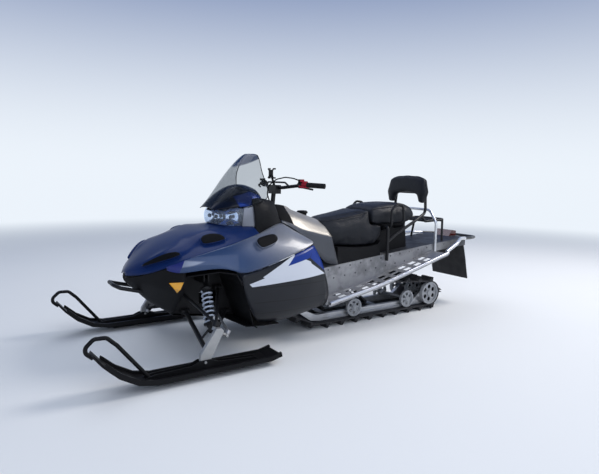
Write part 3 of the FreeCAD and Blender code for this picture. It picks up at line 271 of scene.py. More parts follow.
def moulded(name, colour, rough=0.5, grain=700.0, depth=0.3):
    """Moulded plastic: leather-like grain, a soft sheen and faint scuffs."""
    made = Finish(name)
    scuffs = made.noise(9.0, 5.0, 0.65)
    base = made.mix((scuffs - 0.5).step(0.0, 0.3) * 0.6, colour, [c * 1.7 + 0.004 for c in colour])
    return made.shade(Base_Color=base, Roughness=rough + scuffs * 0.2 - 0.08, Specular_IOR_Level=0.14,
                      Normal=made.bump(made.cells(grain, "SMOOTH_F1"), depth, 0.0004))


plain_steel = alloy("plain_steel", (0.42, 0.42, 0.43), 0.34, (40.0, 40.0, 4.0), 0.3)
rail_alloy = alloy("rail_alloy", (0.60, 0.61, 0.63), 0.32)
black_tube = coated("black_tube", (0.006, 0.006, 0.007))
black_plastic = moulded("black_plastic", (0.007, 0.007, 0.008))
wheel_grey = moulded("wheel_grey", (0.34, 0.35, 0.37), 0.45)
dress(plain_steel, "drive_axle", "hitch")
dress(wheel_grey, "idler_wheels")
dress(rail_alloy, "skid_rails")
dress(black_tube, "skid_arms", "bulkhead")

# Tunnel and running boards. Raw aluminium sheet, stained by thaw water, with rivets along
# its edges. The boards have a bright rolled edge, and a bright tube runs round the tail.


def metres(table):
    """A nested table of millimetres, in metres."""
    return [metres(entry) for entry in table] if isinstance(table, tuple) else table / 1000.0


def applied(piece):
    """A piece's mesh with its modifiers or its bevel applied."""
    return bpy.data.meshes.new_from_object(piece.evaluated_get(bpy.context.evaluated_depsgraph_get()))


def tube(name, spots, radius, finish):
    """A round tube, welt or moulding along a smooth line through its control points."""
    line = bpy.data.curves.new(name, "CURVE")
    line.dimensions = "3D"
    line.bevel_depth = radius
    line.bevel_resolution = 4
    line.resolution_u = 8
    run = line.splines.new("NURBS")
    run.points.add(len(spots) - 1)
    for point, spot in zip(run.points, spots):
        point.co = (*spot, 1.0)
    run.use_endpoint_u = True
    run.order_u = 3
    drawn = bpy.data.objects.new(name + "_line", line)
    scene.collection.objects.link(drawn)
    mesh = applied(drawn)
    bpy.data.objects.remove(drawn)
    mesh.materials.clear()
    new_piece(name, mesh, finish)


def tail_coat_and_painted_shade(made):
    """The black coat on the tunnel's roof behind the seat, and painted shade darkening the end of its sides."""
    along = made.axes()[0]
    facing_up = made.axes(made.node("NewGeometry", output="Normal"))[2].step(0.4, 0.8)
    roof = facing_up * (-0.48 - along).step(0.0, 0.06)
    # painted shade: the sides darken towards the tail
    sides = (-0.99 - along).step(0.0, 0.20) * 0.75
    return (roof + sides).math("MINIMUM", 1.0)


def roof_height(x):
    """The tunnel's roof, which drops behind its kink."""
    return 0.434 - (x - 0.019) * 0.0985 if x > -0.895 else 0.524 - (x + 0.895) * 0.0857


sheet = ((0.40, 0.40, 0.41), 0.40, (1.2, 50.0, 50.0), 0.75)
bright_alloy = alloy("bright_alloy", (0.72, 0.73, 0.75), 0.22, (6.0, 30.0, 30.0), 0.15)
# the tunnel's roof behind the seat is coated black, and the rear of its sides carries painted shade
dress(alloy("tunnel_alloy", *sheet, tail_coat_and_painted_shade), "tunnel")
dress(alloy("sheet_alloy", *sheet), "running_boards")
dress(bright_alloy, "rear_hoop")
tail_tube = Finish("tail_tube")
bare = tail_tube.axes()[0].step(-1.352, -1.348)
streaks = tail_tube.noise(60.0, 3.0)
bare_metal = tail_tube.mix(streaks, (0.66, 0.67, 0.69), (0.78, 0.79, 0.80))
tail_tube.shade(Base_Color=tail_tube.mix(bare, (0.006, 0.006, 0.007), bare_metal), Metallic=bare,
                Roughness=streaks * 0.1 + 0.32)
dress(tail_tube.material, "rear_bumper")
rivet_steel = alloy("rivet_steel", (0.16, 0.16, 0.17), 0.45, (40.0, 40.0, 40.0), 0.4)
rivet_radius = 0.0068
rivet_pitch = 0.095
tunnel_side = 0.2122
shape = bmesh.new()
for side in (-1, 1):
    for lower, first, many in ((0.020, 0.110, 15), (0.084, 0.062, 10)):
        for count in range(many):
            x = first - count * rivet_pitch
            spot = Matrix.Translation((x, tunnel_side * side, roof_height(x) - lower))
            flat = Matrix.Diagonal((1.0, 0.45, 1.0, 1.0))
            bmesh.ops.create_uvsphere(shape, u_segments=10, v_segments=6, radius=rivet_radius, matrix=spot @ flat)
new_piece("tunnel_rivets", shape, rivet_steel)
board_side = 0.383
board_line = metres(((120, 228), (-100, 266), (-315, 304), (-550, 366), (-793, 430), (-985, 480)))
for side, name in ((1, "board_edge_left"), (-1, "board_edge_right")):
    tube(name, [(x, board_side * side, z + 0.004) for x, z in board_line], 0.0105, bright_alloy)
dress(rubber("flap_rubber", (0.014, 0.014, 0.015), 500.0), "snow_flap")
red_lens = Finish("red_lens")
ribs = red_lens.node("TexWave", {"bands_direction": "Y"}, {"Vector": red_lens.place(), "Scale": 60.0})
red_lens.shade(Base_Color=(0.075, 0.004, 0.004), Roughness=0.12, Coat_Weight=1.0,
               Normal=red_lens.bump(ribs, 0.3, 0.001))
dress(red_lens.material, "tail_light")
block_iron = Finish("block_iron")
rough_cast = block_iron.noise(160.0, 4.0)
block_iron.shade(Base_Color=block_iron.mix(rough_cast, (0.05, 0.05, 0.055), (0.12, 0.12, 0.125)), Metallic=0.6,
                 Roughness=0.6, Normal=block_iron.bump(rough_cast, 0.5, 0.001))
dress(block_iron.material, "engine")

# Front suspension and steering. Black arms, pale grey-blue coil springs, cast alloy spindles
# and plain tie rods. Skis are black polyethylene with a steel wear bar and a black tube loop.
cast_alloy = Finish("cast_alloy")
sand = cast_alloy.noise(420.0, 3.0)
cast_tone = cast_alloy.mix(cast_alloy.noise(18.0), (0.50, 0.50, 0.49), (0.36, 0.36, 0.36))
cast_alloy.shade(Base_Color=cast_tone, Metallic=0.85, Roughness=0.45 + sand * 0.2,
                 Normal=cast_alloy.bump(sand, 0.4, 0.0008))
dress(black_tube, "a_arms")
dress(cast_alloy.material, "spindle_left", "spindle_right")
dress(plain_steel, "tie_rod_left", "tie_rod_right")
coil_coat = coated("coil_coat", (0.34, 0.38, 0.46), 0.3)


def settle(shape, stand):
    """Moves what was just made on the local Z axis into its place."""
    fresh = [vert for vert in shape.verts if not vert.tag]
    bmesh.ops.transform(shape, matrix=stand, verts=fresh)
    for vert in fresh:
        vert.tag = True


def turned(shape, profile, stand):
    """A turned part: (radius, height) pairs swept round the local Z."""
    verts = [shape.verts.new((radius, 0.0, rise)) for radius, rise in profile]
    edges = [shape.edges.new(pair) for pair in zip(verts, verts[1:])]
    bmesh.ops.spin(shape, geom=verts + edges, axis=(0, 0, 1), cent=(0, 0, 0), angle=math.tau, steps=20,
                   use_merge=True)
    fresh = [vert for vert in shape.verts if not vert.tag]
    bmesh.ops.remove_doubles(shape, verts=fresh, dist=0.00002)
    settle(shape, stand)


def wound(shape, radius, wire, low, high, turns, stand):
    """A coil spring wound round the local Z between two heights."""
    start = Matrix.Translation((radius, 0, low)) @ Matrix.Rotation(math.pi / 2, 4, "X")
    begun = bmesh.ops.create_circle(shape, cap_ends=True, segments=8, radius=wire, matrix=start)["verts"]
    geom = begun + [edge for edge in shape.edges if edge.verts[0] in begun and edge.verts[1] in begun]
    geom += [face for face in shape.faces if all(vert in begun for vert in face.verts)]
    steps = turns * 20
    bmesh.ops.spin(shape, geom=geom, axis=(0, 0, 1), cent=(0, 0, 0), dvec=(0, 0, (high - low) / steps),
                   angle=math.tau * turns, steps=steps)
    settle(shape, stand)


# radius and height over the damper's foot, then radius and depth under its head
damper_foot = metres(((0, -12), (11, -12), (13, -4), (13, 16), (20, 22), (20, 30), (34, 32), (34, 40), (21, 44),
                      (21, 110), (18, 114), (9, 116)))
damper_head = metres(((9, 60), (30, 56), (32, 48), (32, 42), (18, 36), (13, 20), (13, -6), (10, -12), (0, -12)))
dampers = bmesh.new()
springs = bmesh.new()
for side in (-1, 1):
    head = Vector((0.924, 0.262 * side, 0.440))
    foot = Vector((0.960, 0.418 * side, 0.196))
    length = (head - foot).length
    stand = Matrix.Translation(foot) @ (head - foot).to_track_quat("Z", "Y").to_matrix().to_4x4()
    turned(dampers, damper_foot + [(radius, length - down) for radius, down in damper_head], stand)
    wound(springs, 0.0275, 0.0052, 0.044, length - 0.062, 7, stand)
for shape in (dampers, springs):
    bmesh.ops.recalc_face_normals(shape, faces=shape.faces)
damper = new_piece("front_dampers", dampers, black_tube)
spring = new_piece("front_springs", springs, coil_coat)
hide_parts("shocks")
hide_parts("shocks")
dress(moulded("ski_black", (0.007, 0.007, 0.008), 0.42, 300.0, 0.15), "ski_left", "ski_right")

# Lower body. Black moulded nose and belly with an amber marker lamp let into each side and
# a black tube loop ahead of it. The nose is one moulding that runs back to the arms' wells.


def skin(rows):
    """Rows of points as chains of edges in a new bmesh, each bridged to the next."""
    shape = bmesh.new()
    shape.edges.layers.float.new("crease_edge")
    chains = []
    for row in rows:
        spots = [shape.verts.new(spot) for spot in row]
        chains.append([shape.edges.new(pair) for pair in zip(spots, spots[1:])])
    strips = []
    for first, second in zip(chains, chains[1:]):
        strips.append(bmesh.ops.bridge_loops(shape, edges=first + second)["faces"])
    return shape, chains, strips


def sharpen(shape, edges, amount):
    """Creases edges, so that the rounding keeps them."""
    layer = shape.edges.layers.float["crease_edge"]
    for edge in edges:
        edge[layer] = amount


def shell(name, shape, finish, slot, wall=0.004, rim=None):
    """Mirrors a left half, creases its open rim, rounds it and gives it a wall."""
    bmesh.ops.mirror(shape, geom=shape.verts[:] + shape.edges[:] + shape.faces[:], axis="Y", merge_dist=0.0015)
    bmesh.ops.remove_doubles(shape, verts=shape.verts, dist=0.0004)
    bmesh.ops.recalc_face_normals(shape, faces=shape.faces)
    if rim:
        sharpen(shape, [edge for edge in shape.edges if edge.is_boundary], rim)
    made = new_piece(name, shape, finish)
    smooth = made.modifiers.new("round", "SUBSURF")
    smooth.levels = smooth.render_levels = 2
    thick = made.modifiers.new("wall", "SOLIDIFY")
    thick.thickness = wall
    thick.offset = -1.0
    return made


# each line runs from the tip back to the front wall of the wells: top edge to keel
nose_rows = metres((
    ((1309, 30, 470), (1303, 74, 455), (1245, 200, 494), (1175, 286, 540), (1071, 352, 566)),
    ((1312, 28, 462), (1303, 70, 447), (1245, 186, 466), (1175, 276, 485), (1071, 346, 493)),
    ((1314, 26, 455), (1303, 66, 440), (1245, 170, 440), (1175, 262, 430), (1071, 338, 420)),
    ((1314, 20, 447), (1303, 53, 430), (1245, 127, 405), (1175, 181, 360), (1071, 233, 325)),
    ((1314, 14, 440), (1303, 40, 420), (1245, 84, 372), (1175, 100, 292), (1071, 128, 232)),
    ((1312, 0, 434), (1303, 0, 414), (1245, 0, 366), (1175, 0, 282), (1071, 0, 226)),
))
shape, chains, _ = skin(nose_rows)
sharpen(shape, chains[2], 0.35)
sharpen(shape, chains[4], 0.55)
nose = shell("nose_skin", shape, black_plastic, "black_plastic", rim=0.9)
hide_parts("nose")
dress(black_plastic, "belly_pan")
dress(black_tube, "front_bumper")
amber = Finish("amber_lens")
prisms = amber.cells(260.0)
amber.shade(Base_Color=amber.mix(prisms, (1.0, 0.50, 0.02), (0.9, 0.36, 0.01)), Roughness=0.15, Coat_Weight=1.0,
            Normal=amber.bump(prisms, 0.5, 0.0015))
dress(amber.material, "marker_lamps")

# Hood. One moulding in deep blue metallic paint under clear coat, with a raised spine and two
# open eyelid vents a side. Its seam runs on into the silver flanks.


def flakes(made):
    """The shine of each metal flake in a paint."""
    return made.axes(made.cells(1400.0, output=1))[0]


def painted(name, colour, flake, rough=0.32, metal=0.55, coat=0.4):
    """Metallic paint: flakes under a clear coat with a faint orange peel."""
    made = Finish(name)
    shine = flakes(made)
    peel = made.noise(90.0, 2.0)
    return made.shade(Base_Color=made.mix(shine * 0.5, colour, flake), Metallic=metal,
                      Roughness=rough + shine * 0.12, Coat_Weight=coat, Coat_Roughness=0.04, Coat_IOR=1.36,
                      Specular_IOR_Level=0.1, Normal=made.bump(peel, 0.05, 0.001))


def rim_edges(shape, faces):
    """The edges round a group of faces."""
    return [edge for edge in shape.edges if sum(face in faces for face in edge.link_faces) == 1]


def press_in(shape, faces, depth, amount, foot=False):
    """Presses a slot with a dark floor into a skin, and creases its lip and, where asked, its foot."""
    bmesh.ops.inset_region(shape, faces=faces, thickness=0.003, depth=0.0)
    creased = rim_edges(shape, faces)
    bmesh.ops.inset_region(shape, faces=faces, thickness=0.001, depth=-depth)
    if foot:
        creased += rim_edges(shape, faces)
    sharpen(shape, creased, amount)
    for face in faces:
        face.material_index = 1


def ribbed(stations, lines):
    """Rows of points that share their places along the machine."""
    return [[(x, y, z) for x, (y, z) in zip(stations, line)] for line in lines]


blue_paint = painted("blue_paint", (0.003, 0.011, 0.060), (0.012, 0.046, 0.20), 0.32, 0.04, 0.16)
vent_black = moulded("vent_black", (0.003, 0.003, 0.0035), 0.7, 300.0)
hood_x = metres((1317, 1285, 1250, 1215, 1180, 1145, 1110, 1075, 1035, 1000, 960, 920, 880, 845, 815, 770,
                 710, 650, 600))
# each line runs from nose to lamp: spine, plateau edge, brow, vent lip, vent foot, shoulder, seam, tuck
hood_lines = metres((
    ((0, 486), (0, 522), (0, 554), (0, 582), (0, 606), (0, 628), (0, 648), (0, 665), (0, 682), (0, 695),
     (0, 707), (0, 718), (0, 728), (0, 735), (0, 741), (0, 748), (0, 753), (0, 756), (0, 757)),
    ((12, 485), (50, 518), (90, 547), (125, 573), (150, 597), (163, 620), (170, 641), (170, 659),
     (160, 677), (135, 692), (105, 706), (80, 718), (62, 728), (50, 735), (45, 741), (45, 747), (45, 752),
     (45, 754), (45, 755)),
    ((18, 484), (70, 513), (115, 543), (152, 572), (185, 600), (213, 622), (236, 638), (245, 648),
     (238, 659), (215, 678), (203, 700), (198, 717), (202, 726), (216, 727), (232, 722), (232, 722),
     (205, 733), (200, 741), (200, 744)),
    ((24, 482), (85, 508), (135, 536), (178, 564), (216, 592), (248, 612), (274, 622), (296, 619),
     (292, 632), (262, 656), (248, 682), (246, 700), (252, 708), (272, 703), (292, 690), (288, 696),
     (268, 713), (260, 724), (256, 728)),
    ((30, 480), (98, 502), (152, 524), (202, 542), (246, 560), (280, 575), (303, 588), (312, 604),
     (314, 617), (290, 640), (296, 646), (308, 650), (315, 657), (318, 665), (320, 673), (314, 683),
     (304, 696), (292, 708), (284, 714)),
    ((36, 477), (115, 497), (178, 514), (228, 532), (268, 550), (299, 567), (322, 581), (335, 595),
     (340, 608), (340, 621), (340, 631), (343, 640), (344, 649), (343, 657), (340, 664), (334, 674),
     (323, 687), (308, 700), (296, 709)),
    ((40, 473), (132, 489), (202, 505), (250, 523), (288, 542), (317, 559), (338, 573), (352, 587),
     (361, 599), (366, 610), (369, 620), (370, 629), (368, 638), (364, 646), (360, 653), (353, 664),
     (341, 678), (326, 692), (312, 703)),
    ((36, 466), (126, 481), (196, 496), (245, 513), (283, 532), (312, 549), (333, 563), (347, 577),
     (355, 589), (360, 600), (363, 610), (364, 619), (362, 628), (358, 636), (354, 643), (347, 654),
     (335, 668), (320, 682), (306, 693)),
))
shape, chains, strips = skin(ribbed(hood_x, hood_lines))
sharpen(shape, chains[1][1:10], 0.75)
for line, amount in ((2, 0.35), (3, 0.75), (4, 0.75), (6, 0.85), (7, 1.0)):
    sharpen(shape, chains[line], amount)
mouths = []
for face in strips[3]:
    middle = face.calc_center_median().x
    if 1.08 < middle < 1.25 or 0.82 < middle < 0.98:
        mouths.append(face)
press_in(shape, mouths, 0.014, 0.7)
hood = shell("hood_skin", shape, blue_paint, "blue_body")
hood.data.materials.append(vent_black)
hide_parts("hood")

# Silver flanks. One curved sheet each side from the hood's seam to the crease over the side
# panel, with a dark air slot. Its front tip is blue, continuing the hood down to the nose. A painted
# sky reflection turns the silver steel blue towards the front and bottom, and a pale painted
# highlight streaks the front.
# each line runs from nose to console: top edge, slot's upper line, slot's lower line, waist, bottom edge
flank_rows = metres((
    ((1165, 300, 550), (1111, 336, 575), (1040, 360, 600), (960, 371, 621), (880, 370, 639),
     (810, 361, 655), (740, 349, 672), (672, 333, 688), (600, 312, 704), (515, 268, 728), (450, 238, 746),
     (395, 222, 754), (353, 228, 727), (300, 262, 690), (237, 322, 645)),
    ((1164, 302, 545), (1111, 342, 562), (1040, 370, 584), (960, 388, 602), (880, 394, 616),
     (810, 394, 631), (740, 385, 649), (676, 360, 672), (592, 346, 686), (506, 326, 698), (440, 306, 705),
     (386, 292, 708), (342, 290, 693), (292, 306, 669), (237, 334, 641)),
    ((1163, 303, 539), (1111, 347, 546), (1040, 378, 562), (960, 400, 576), (880, 413, 585),
     (810, 419, 592), (740, 418, 604), (650, 412, 612), (600, 402, 624), (504, 386, 648), (445, 366, 664),
     (385, 350, 671), (335, 340, 664), (288, 338, 650), (237, 344, 637)),
    ((1162, 304, 533), (1111, 350, 528), (1040, 381, 541), (960, 404, 552), (880, 422, 557),
     (810, 437, 549), (740, 441, 550), (668, 438, 565), (594, 430, 580), (520, 420, 600), (445, 404, 618),
     (385, 390, 630), (335, 378, 632), (288, 366, 631), (237, 350, 633)),
    ((1161, 304, 527), (1111, 350, 513), (1040, 380, 524), (960, 403, 533), (880, 424, 536),
     (820, 442, 518), (780, 449, 498), (690, 449, 512), (600, 445, 534), (520, 437, 557), (445, 427, 578),
     (385, 414, 592), (335, 400, 603), (288, 382, 614), (237, 352, 629)),
))


def inside(place, corners, soft=1.2):
    """A mask of the convex outline through corners in x and z, softened, all in millimetres."""
    along, _, up = place
    corners, soft = metres((corners, soft))
    area = sum(ax * bz - bx * az for (ax, az), (bx, bz) in zip(corners, corners[1:] + corners[:1]))
    if area < 0:
        corners = corners[::-1]
    mask = None
    for (ax, az), (bx, bz) in zip(corners, corners[1:] + corners[:1]):
        reach = math.hypot(bx - ax, bz - az)
        side = (up - az) * ((bx - ax) / reach) - (along - ax) * ((bz - az) / reach)
        edge = side.step(-soft, soft)
        mask = edge if mask is None else mask * edge
    return mask


flank_paint = Finish("flank_paint")
shine = flakes(flank_paint)
place = flank_paint.axes()
along, _, up = place
tip = (along - (up - 0.515) * -0.45 - 1.109).step(-0.0015, 0.0015)
# painted reflection: towards the front and the bottom the silver turns steel blue, as the sky shows in it
sky_reflection_share = (along + (0.62 - up) * 0.9).step(0.34, 0.86)
silver = flank_paint.mix(shine, (0.15, 0.155, 0.17), (0.30, 0.31, 0.34))
painted_sky_reflection = flank_paint.mix(shine, (0.012, 0.030, 0.085), (0.034, 0.075, 0.18))
silver = flank_paint.mix(sky_reflection_share, silver, painted_sky_reflection)
# painted highlight: a pale streak over the front of the flank
painted_highlight = inside(place, ((1089, 584), (945, 572), (1024, 559), (1098, 529)), 6)
silver = flank_paint.mix(painted_highlight * 0.55, silver, (0.42, 0.46, 0.54))
blue = flank_paint.mix(shine * 0.5, (0.003, 0.008, 0.11), (0.012, 0.035, 0.28))
flank_paint.shade(Base_Color=flank_paint.mix(tip, silver, blue), Metallic=0.4, Roughness=shine * 0.12 + 0.36,
                  Coat_Weight=0.5, Coat_Roughness=0.04, Coat_IOR=1.4,
                  Normal=flank_paint.bump(flank_paint.noise(90.0, 2.0), 0.05, 0.001))
shape, chains, strips = skin(flank_rows)
sharpen(shape, chains[0] + chains[-1], 1.0)
air_slot = [face for face in strips[1] if 0.49 < face.calc_center_median().x < 0.67]
press_in(shape, air_slot, 0.020, 0.8, foot=True)
flanks = shell("flank_skin", shape, flank_paint.material, "silver_body")
flanks.data.materials.append(vent_black)
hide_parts("upper_sides")

# Side panels. Satin charcoal mouldings that swell out over the engine bay, with a white band
# and blue wedges laid over the top third and long pressed grooves below, darkened with painted shade.
panel_rows = metres((
    ((780, 445, 491), (700, 446, 503), (610, 442, 525), (507, 431, 555), (400, 412, 582), (310, 388, 604),
     (239, 349, 622)),
    ((776, 450, 440), (690, 455, 450), (600, 455, 465), (500, 450, 480), (390, 440, 497), (290, 420, 515),
     (196, 378, 535)),
    ((760, 448, 370), (675, 455, 375), (590, 457, 380), (490, 455, 388), (380, 448, 398), (275, 430, 412),
     (165, 390, 430)),
    ((725, 434, 285), (650, 443, 285), (570, 446, 287), (475, 445, 292), (370, 438, 302), (260, 422, 318),
     (140, 391, 340)),
    ((680, 406, 215), (620, 411, 208), (550, 411, 202), (470, 409, 205), (370, 405, 217), (260, 397, 238),
     (134, 384, 270)),
    ((640, 372, 186), (600, 369, 177), (540, 367, 171), (470, 365, 169), (370, 363, 183), (260, 362, 204),
     (141, 366, 233)),
))
panel_finish = Finish("panel_finish")
place = panel_finish.axes()
along, _, up = place
haze = panel_finish.noise(7.0, 4.0)
white_low = inside(place, ((737, 436), (721, 418), (172, 437), (290, 512), (640, 462)))
white_high = inside(place, ((652, 468), (640, 462), (290, 512), (296, 526), (424, 578)))
blue_high = inside(place, ((396, 590), (476, 516), (296, 548), (240, 615)))
blue_rear = inside(place, ((293, 546), (160, 445), (215, 610), (246, 612)))
white = (white_low + white_high).math("MINIMUM", 1.0) * (1.0 - blue_high)
blue = (blue_high + blue_rear).math("MINIMUM", 1.0) * (1.0 - white)
lines = [(up - along * 0.03 - z).math("ABSOLUTE").step(0.004, 0.0) for z in (0.300, 0.388, 0.232)]
grooves = (lines[0] + lines[1] + lines[2]) * (0.71 - along).step(0.0, 0.02)
base = panel_finish.mix(haze * 0.5, (0.008, 0.009, 0.013), (0.016, 0.018, 0.024))
base = panel_finish.mix(blue, base, (0.006, 0.032, 0.23))
base = panel_finish.mix(white, base, (0.60, 0.63, 0.70))
# painted shade: the grooves are darkened in the colour as well as pressed in by the bump
base = panel_finish.mix(grooves * (1.0 - white), base, (0.004, 0.004, 0.005))
normal = panel_finish.bump(panel_finish.cells(900.0, "SMOOTH_F1"), 0.1, 0.0004)
normal = panel_finish.bump(1.0 - grooves, 0.2, 0.002, normal)
panel_finish.shade(Base_Color=base, Roughness=0.34 + haze * 0.12 - (white + blue) * 0.06, Coat_Weight=0.2,
                   Coat_Roughness=0.12, Specular_IOR_Level=0.22, Normal=normal)
panels = shell("panel_skin", skin(panel_rows)[0], panel_finish.material, "charcoal_body", rim=1.0)
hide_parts("lower_sides")

# Headlight. A clear wrapped lens over two bright bowls a side with round bulb shields, set in
# a dark faceted bed between the hood and the dome.
# the lens's outline from its middle to its side, in x and y, then the heights of its lower and upper edge
lens_rows = metres((
    ((806, 0), (800, 45), (782, 90), (752, 130), (712, 164), (668, 188), (632, 200)),
    (748, 748, 745, 741, 737, 735, 736),
    (828, 830, 834, 840, 846, 849, 846),
))
lamp_axis = 0.60
lamp_height = 0.790


def lamp_skin(steps):
    """The lens's outline at shares of its height, each pushed out or in along its own radius."""
    rows = []
    for share, push in steps:
        row = []
        for (x, y), low, high in zip(*lens_rows):
            out = Vector((x - lamp_axis, y)).normalized() * push
            row.append((x + out.x, max(y + out.y, 0.0), low + (high - low) * share))
        rows.append(row)
    return skin(rows)


lens_glass = Finish("lens_glass")
flutes = lens_glass.bump(lens_glass.noise(26.0, 2.0), 0.15, 0.003)
pane = lens_glass.node("BsdfPrincipled", inputs={"Base Color": (0.75, 0.82, 0.92, 1.0), "Roughness": 0.03,
                                                 "Coat Weight": 1.0, "Metallic": 0.15, "Normal": flutes})
lens_glass.see_through(0.10, pane, (0.90, 0.94, 1.0))
shape, chains, _ = lamp_skin(((0.0, -0.004), (0.25, 0.004), (0.55, 0.007), (0.85, 0.002), (1.0, -0.006)))
sharpen(shape, chains[0] + chains[-1], 1.0)
lens = shell("lamp_lens", shape, lens_glass.material, "lamp_glass", 0.002)
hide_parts("headlight")

bright_bowl = Finish("bright_bowl")
facet = bright_bowl.axes(bright_bowl.cells(48.0, output=1))[0]
bright_bowl.shade(Base_Color=bright_bowl.mix(facet, (0.62, 0.72, 0.88), (0.97, 0.98, 1.0)), Metallic=1.0,
                  Roughness=facet * 0.12 + 0.05, Normal=bright_bowl.bump(facet, 0.5, 0.002))
shape = bmesh.new()
for side in (-1, 1):
    for x, y, radius, aim in ((0.768, 0.052, 0.036, 24.0), (0.706, 0.134, 0.041, 46.0)):
        turn = Matrix.Rotation(math.radians(aim * side), 4, "Z") @ Matrix.Rotation(math.radians(90.0), 4, "Y")
        spot = Matrix.Translation((x, y * side, lamp_height))
        rim = bmesh.ops.create_circle(shape, cap_ends=True, radius=radius, segments=32, matrix=spot @ turn)
        bowl = [face for face in shape.faces if all(vert in rim["verts"] for vert in face.verts)]
        axis = (turn @ Vector((0.0, 0.0, 1.0, 0.0))).to_3d()
        for shrink, sink in ((0.005, 0.008), (0.008, 0.011), (0.010, 0.008)):
            bmesh.ops.inset_region(shape, faces=bowl, thickness=shrink)
            bmesh.ops.translate(shape, verts=list({v for f in bowl for v in f.verts}), vec=axis * -sink)
new_piece("lamp_bowls", shape, bright_bowl.material)
shape = bmesh.new()
for side in (-1, 1):
    for x, y in ((0.764, 0.050), (0.703, 0.131)):
        bmesh.ops.create_uvsphere(shape, u_segments=20, v_segments=12, radius=0.0125,
                                  matrix=Matrix.Translation((x, y * side, lamp_height)))
new_piece("bulb_shields", shape, black_tube)

lamp_bed = Finish("lamp_bed")
patch = lamp_bed.axes(lamp_bed.cells(26.0, output=1))[1]
glint = lamp_bed.mix((patch - 0.6).step(0.0, 0.2), (0.005, 0.008, 0.018), (0.16, 0.28, 0.56))
lamp_bed.shade(Base_Color=glint, Metallic=0.9, Roughness=patch * 0.2 + 0.12,
               Normal=lamp_bed.bump(patch, 0.4, 0.003))
shape = lamp_skin(((0.02, -0.010), (0.04, -0.030), (0.5, -0.075), (0.92, -0.034), (0.97, -0.012)))[0]
shell("lamp_bed", shape, lamp_bed.material, "lamp_glass", 0.002)

# Dome and shrouds. A smoked gloss dome carries the screen, over a plain black dash. Behind the
# lamp its flank is blue above and silver below, and a black shroud wraps the handlebar's foot.
dome_x = metres((812, 795, 765, 725, 690, 650, 600, 550, 505))
dome_lines = metres((
    ((0, 848), (0, 868), (0, 898), (0, 934), (0, 962), (0, 984), (0, 996), (0, 992), (0, 974)),
    ((50, 846), (62, 863), (78, 890), (90, 922), (98, 946), (102, 966), (102, 977), (96, 972), (90, 954)),
    ((84, 841), (104, 852), (128, 870), (150, 892), (162, 908), (170, 920), (170, 928), (162, 926),
     (150, 914)),
    ((100, 834), (122, 838), (150, 842), (176, 848), (192, 853), (203, 857), (205, 864), (197, 870),
     (184, 872)),
))
dome_finish = Finish("dome_finish")
behind_lamp = ((690, 915), (672, 850), (500, 850), (500, 915), (580, 945))
flank = inside(dome_finish.axes(), behind_lamp, 4)
speck = dome_finish.noise(500.0, 2.0)
smoke = dome_finish.mix(speck, (0.003, 0.004, 0.009), (0.007, 0.009, 0.018))
dome_finish.shade(Base_Color=dome_finish.mix(flank, smoke, (0.006, 0.030, 0.19)), Metallic=flank * 0.4,
                  Roughness=0.20 + speck * 0.06, Specular_IOR_Level=0.18, Coat_Weight=0.1, Coat_Roughness=0.05,
                  Normal=dome_finish.bump(dome_finish.noise(40.0), 0.04, 0.002))
shape, chains, _ = skin(ribbed(dome_x, dome_lines))
sharpen(shape, chains[-1], 1.0)
dome = shell("dome_skin", shape, dome_finish.material, "dome_plastic")
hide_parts("pod")
dash_rows = metres((
    ((512, 0, 968), (512, 90, 948), (512, 148, 908), (512, 180, 867)),
    ((494, 0, 910), (494, 90, 900), (494, 148, 880), (500, 184, 856)),
    ((480, 0, 845), (480, 90, 842), (482, 150, 836), (494, 196, 828)),
    ((474, 0, 770), (474, 90, 770), (478, 150, 770), (492, 206, 770)),
    ((474, 0, 700), (474, 90, 700), (478, 150, 700), (492, 212, 700)),
    ((440, 0, 690), (440, 90, 690), (440, 150, 690), (440, 208, 694)),
    ((386, 0, 688), (386, 90, 688), (386, 150, 690), (386, 204, 694)),
))
shell("dash_panel", skin(dash_rows)[0], black_plastic, "black_plastic", 0.003, rim=0.9)
silver_paint = painted("silver_paint", (0.17, 0.18, 0.21), (0.32, 0.34, 0.39), 0.36)
cheek_rows = metres((
    ((650, 196, 850), (625, 203, 858), (600, 208, 864), (575, 210, 868)),
    ((656, 206, 815), (628, 213, 820), (600, 217, 824), (575, 219, 828)),
    ((660, 206, 770), (632, 214, 772), (604, 220, 775), (575, 224, 778)),
    ((662, 202, 733), (636, 213, 730), (606, 222, 728), (575, 230, 726)),
))
cheeks = shell("lamp_cheeks", skin(cheek_rows)[0], silver_paint, "silver_body", 0.003, rim=0.9)
shroud_rows = metres((
    ((588, 178, 902), (554, 174, 908), (515, 168, 906), (468, 156, 896), (412, 142, 884)),
    ((594, 222, 862), (558, 224, 866), (515, 220, 866), (466, 206, 862), (412, 176, 852)),
    ((592, 236, 812), (556, 244, 812), (510, 244, 810), (460, 228, 806), (402, 192, 800)),
    ((590, 238, 760), (552, 250, 756), (504, 252, 752), (452, 236, 752), (394, 204, 756)),
    ((592, 236, 716), (552, 250, 722), (500, 252, 728), (446, 238, 735), (390, 212, 742)),
    ((606, 246, 688), (560, 254, 690), (505, 256, 698), (450, 240, 712), (392, 212, 728)),
))
shrouds = shell("bar_shrouds", skin(shroud_rows)[0], black_plastic, "black_plastic", rim=0.8)
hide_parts("pod_sides")
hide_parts("pod_sides")

# Screen. One clear sheet wrapped over the dome, wider in its lower wings, with a dark tint
# over the top hand's breadth and a black moulding round its edge.
screen_finish = Finish("screen_finish")
along, _, up = screen_finish.axes()
tint = (up + along * 0.42 - 1.357).step(-0.003, 0.006)
haze = screen_finish.noise(18.0, 4.0)
smoked = screen_finish.mix(tint, (0.08, 0.09, 0.10), (0.012, 0.030, 0.085))
pane = screen_finish.node("BsdfPrincipled", inputs={"Base Color": smoked, "Roughness": haze * 0.06 + 0.03})
screen_finish.see_through(tint * 0.60 + 0.06 + haze * 0.03, pane, (0.80, 0.81, 0.82))
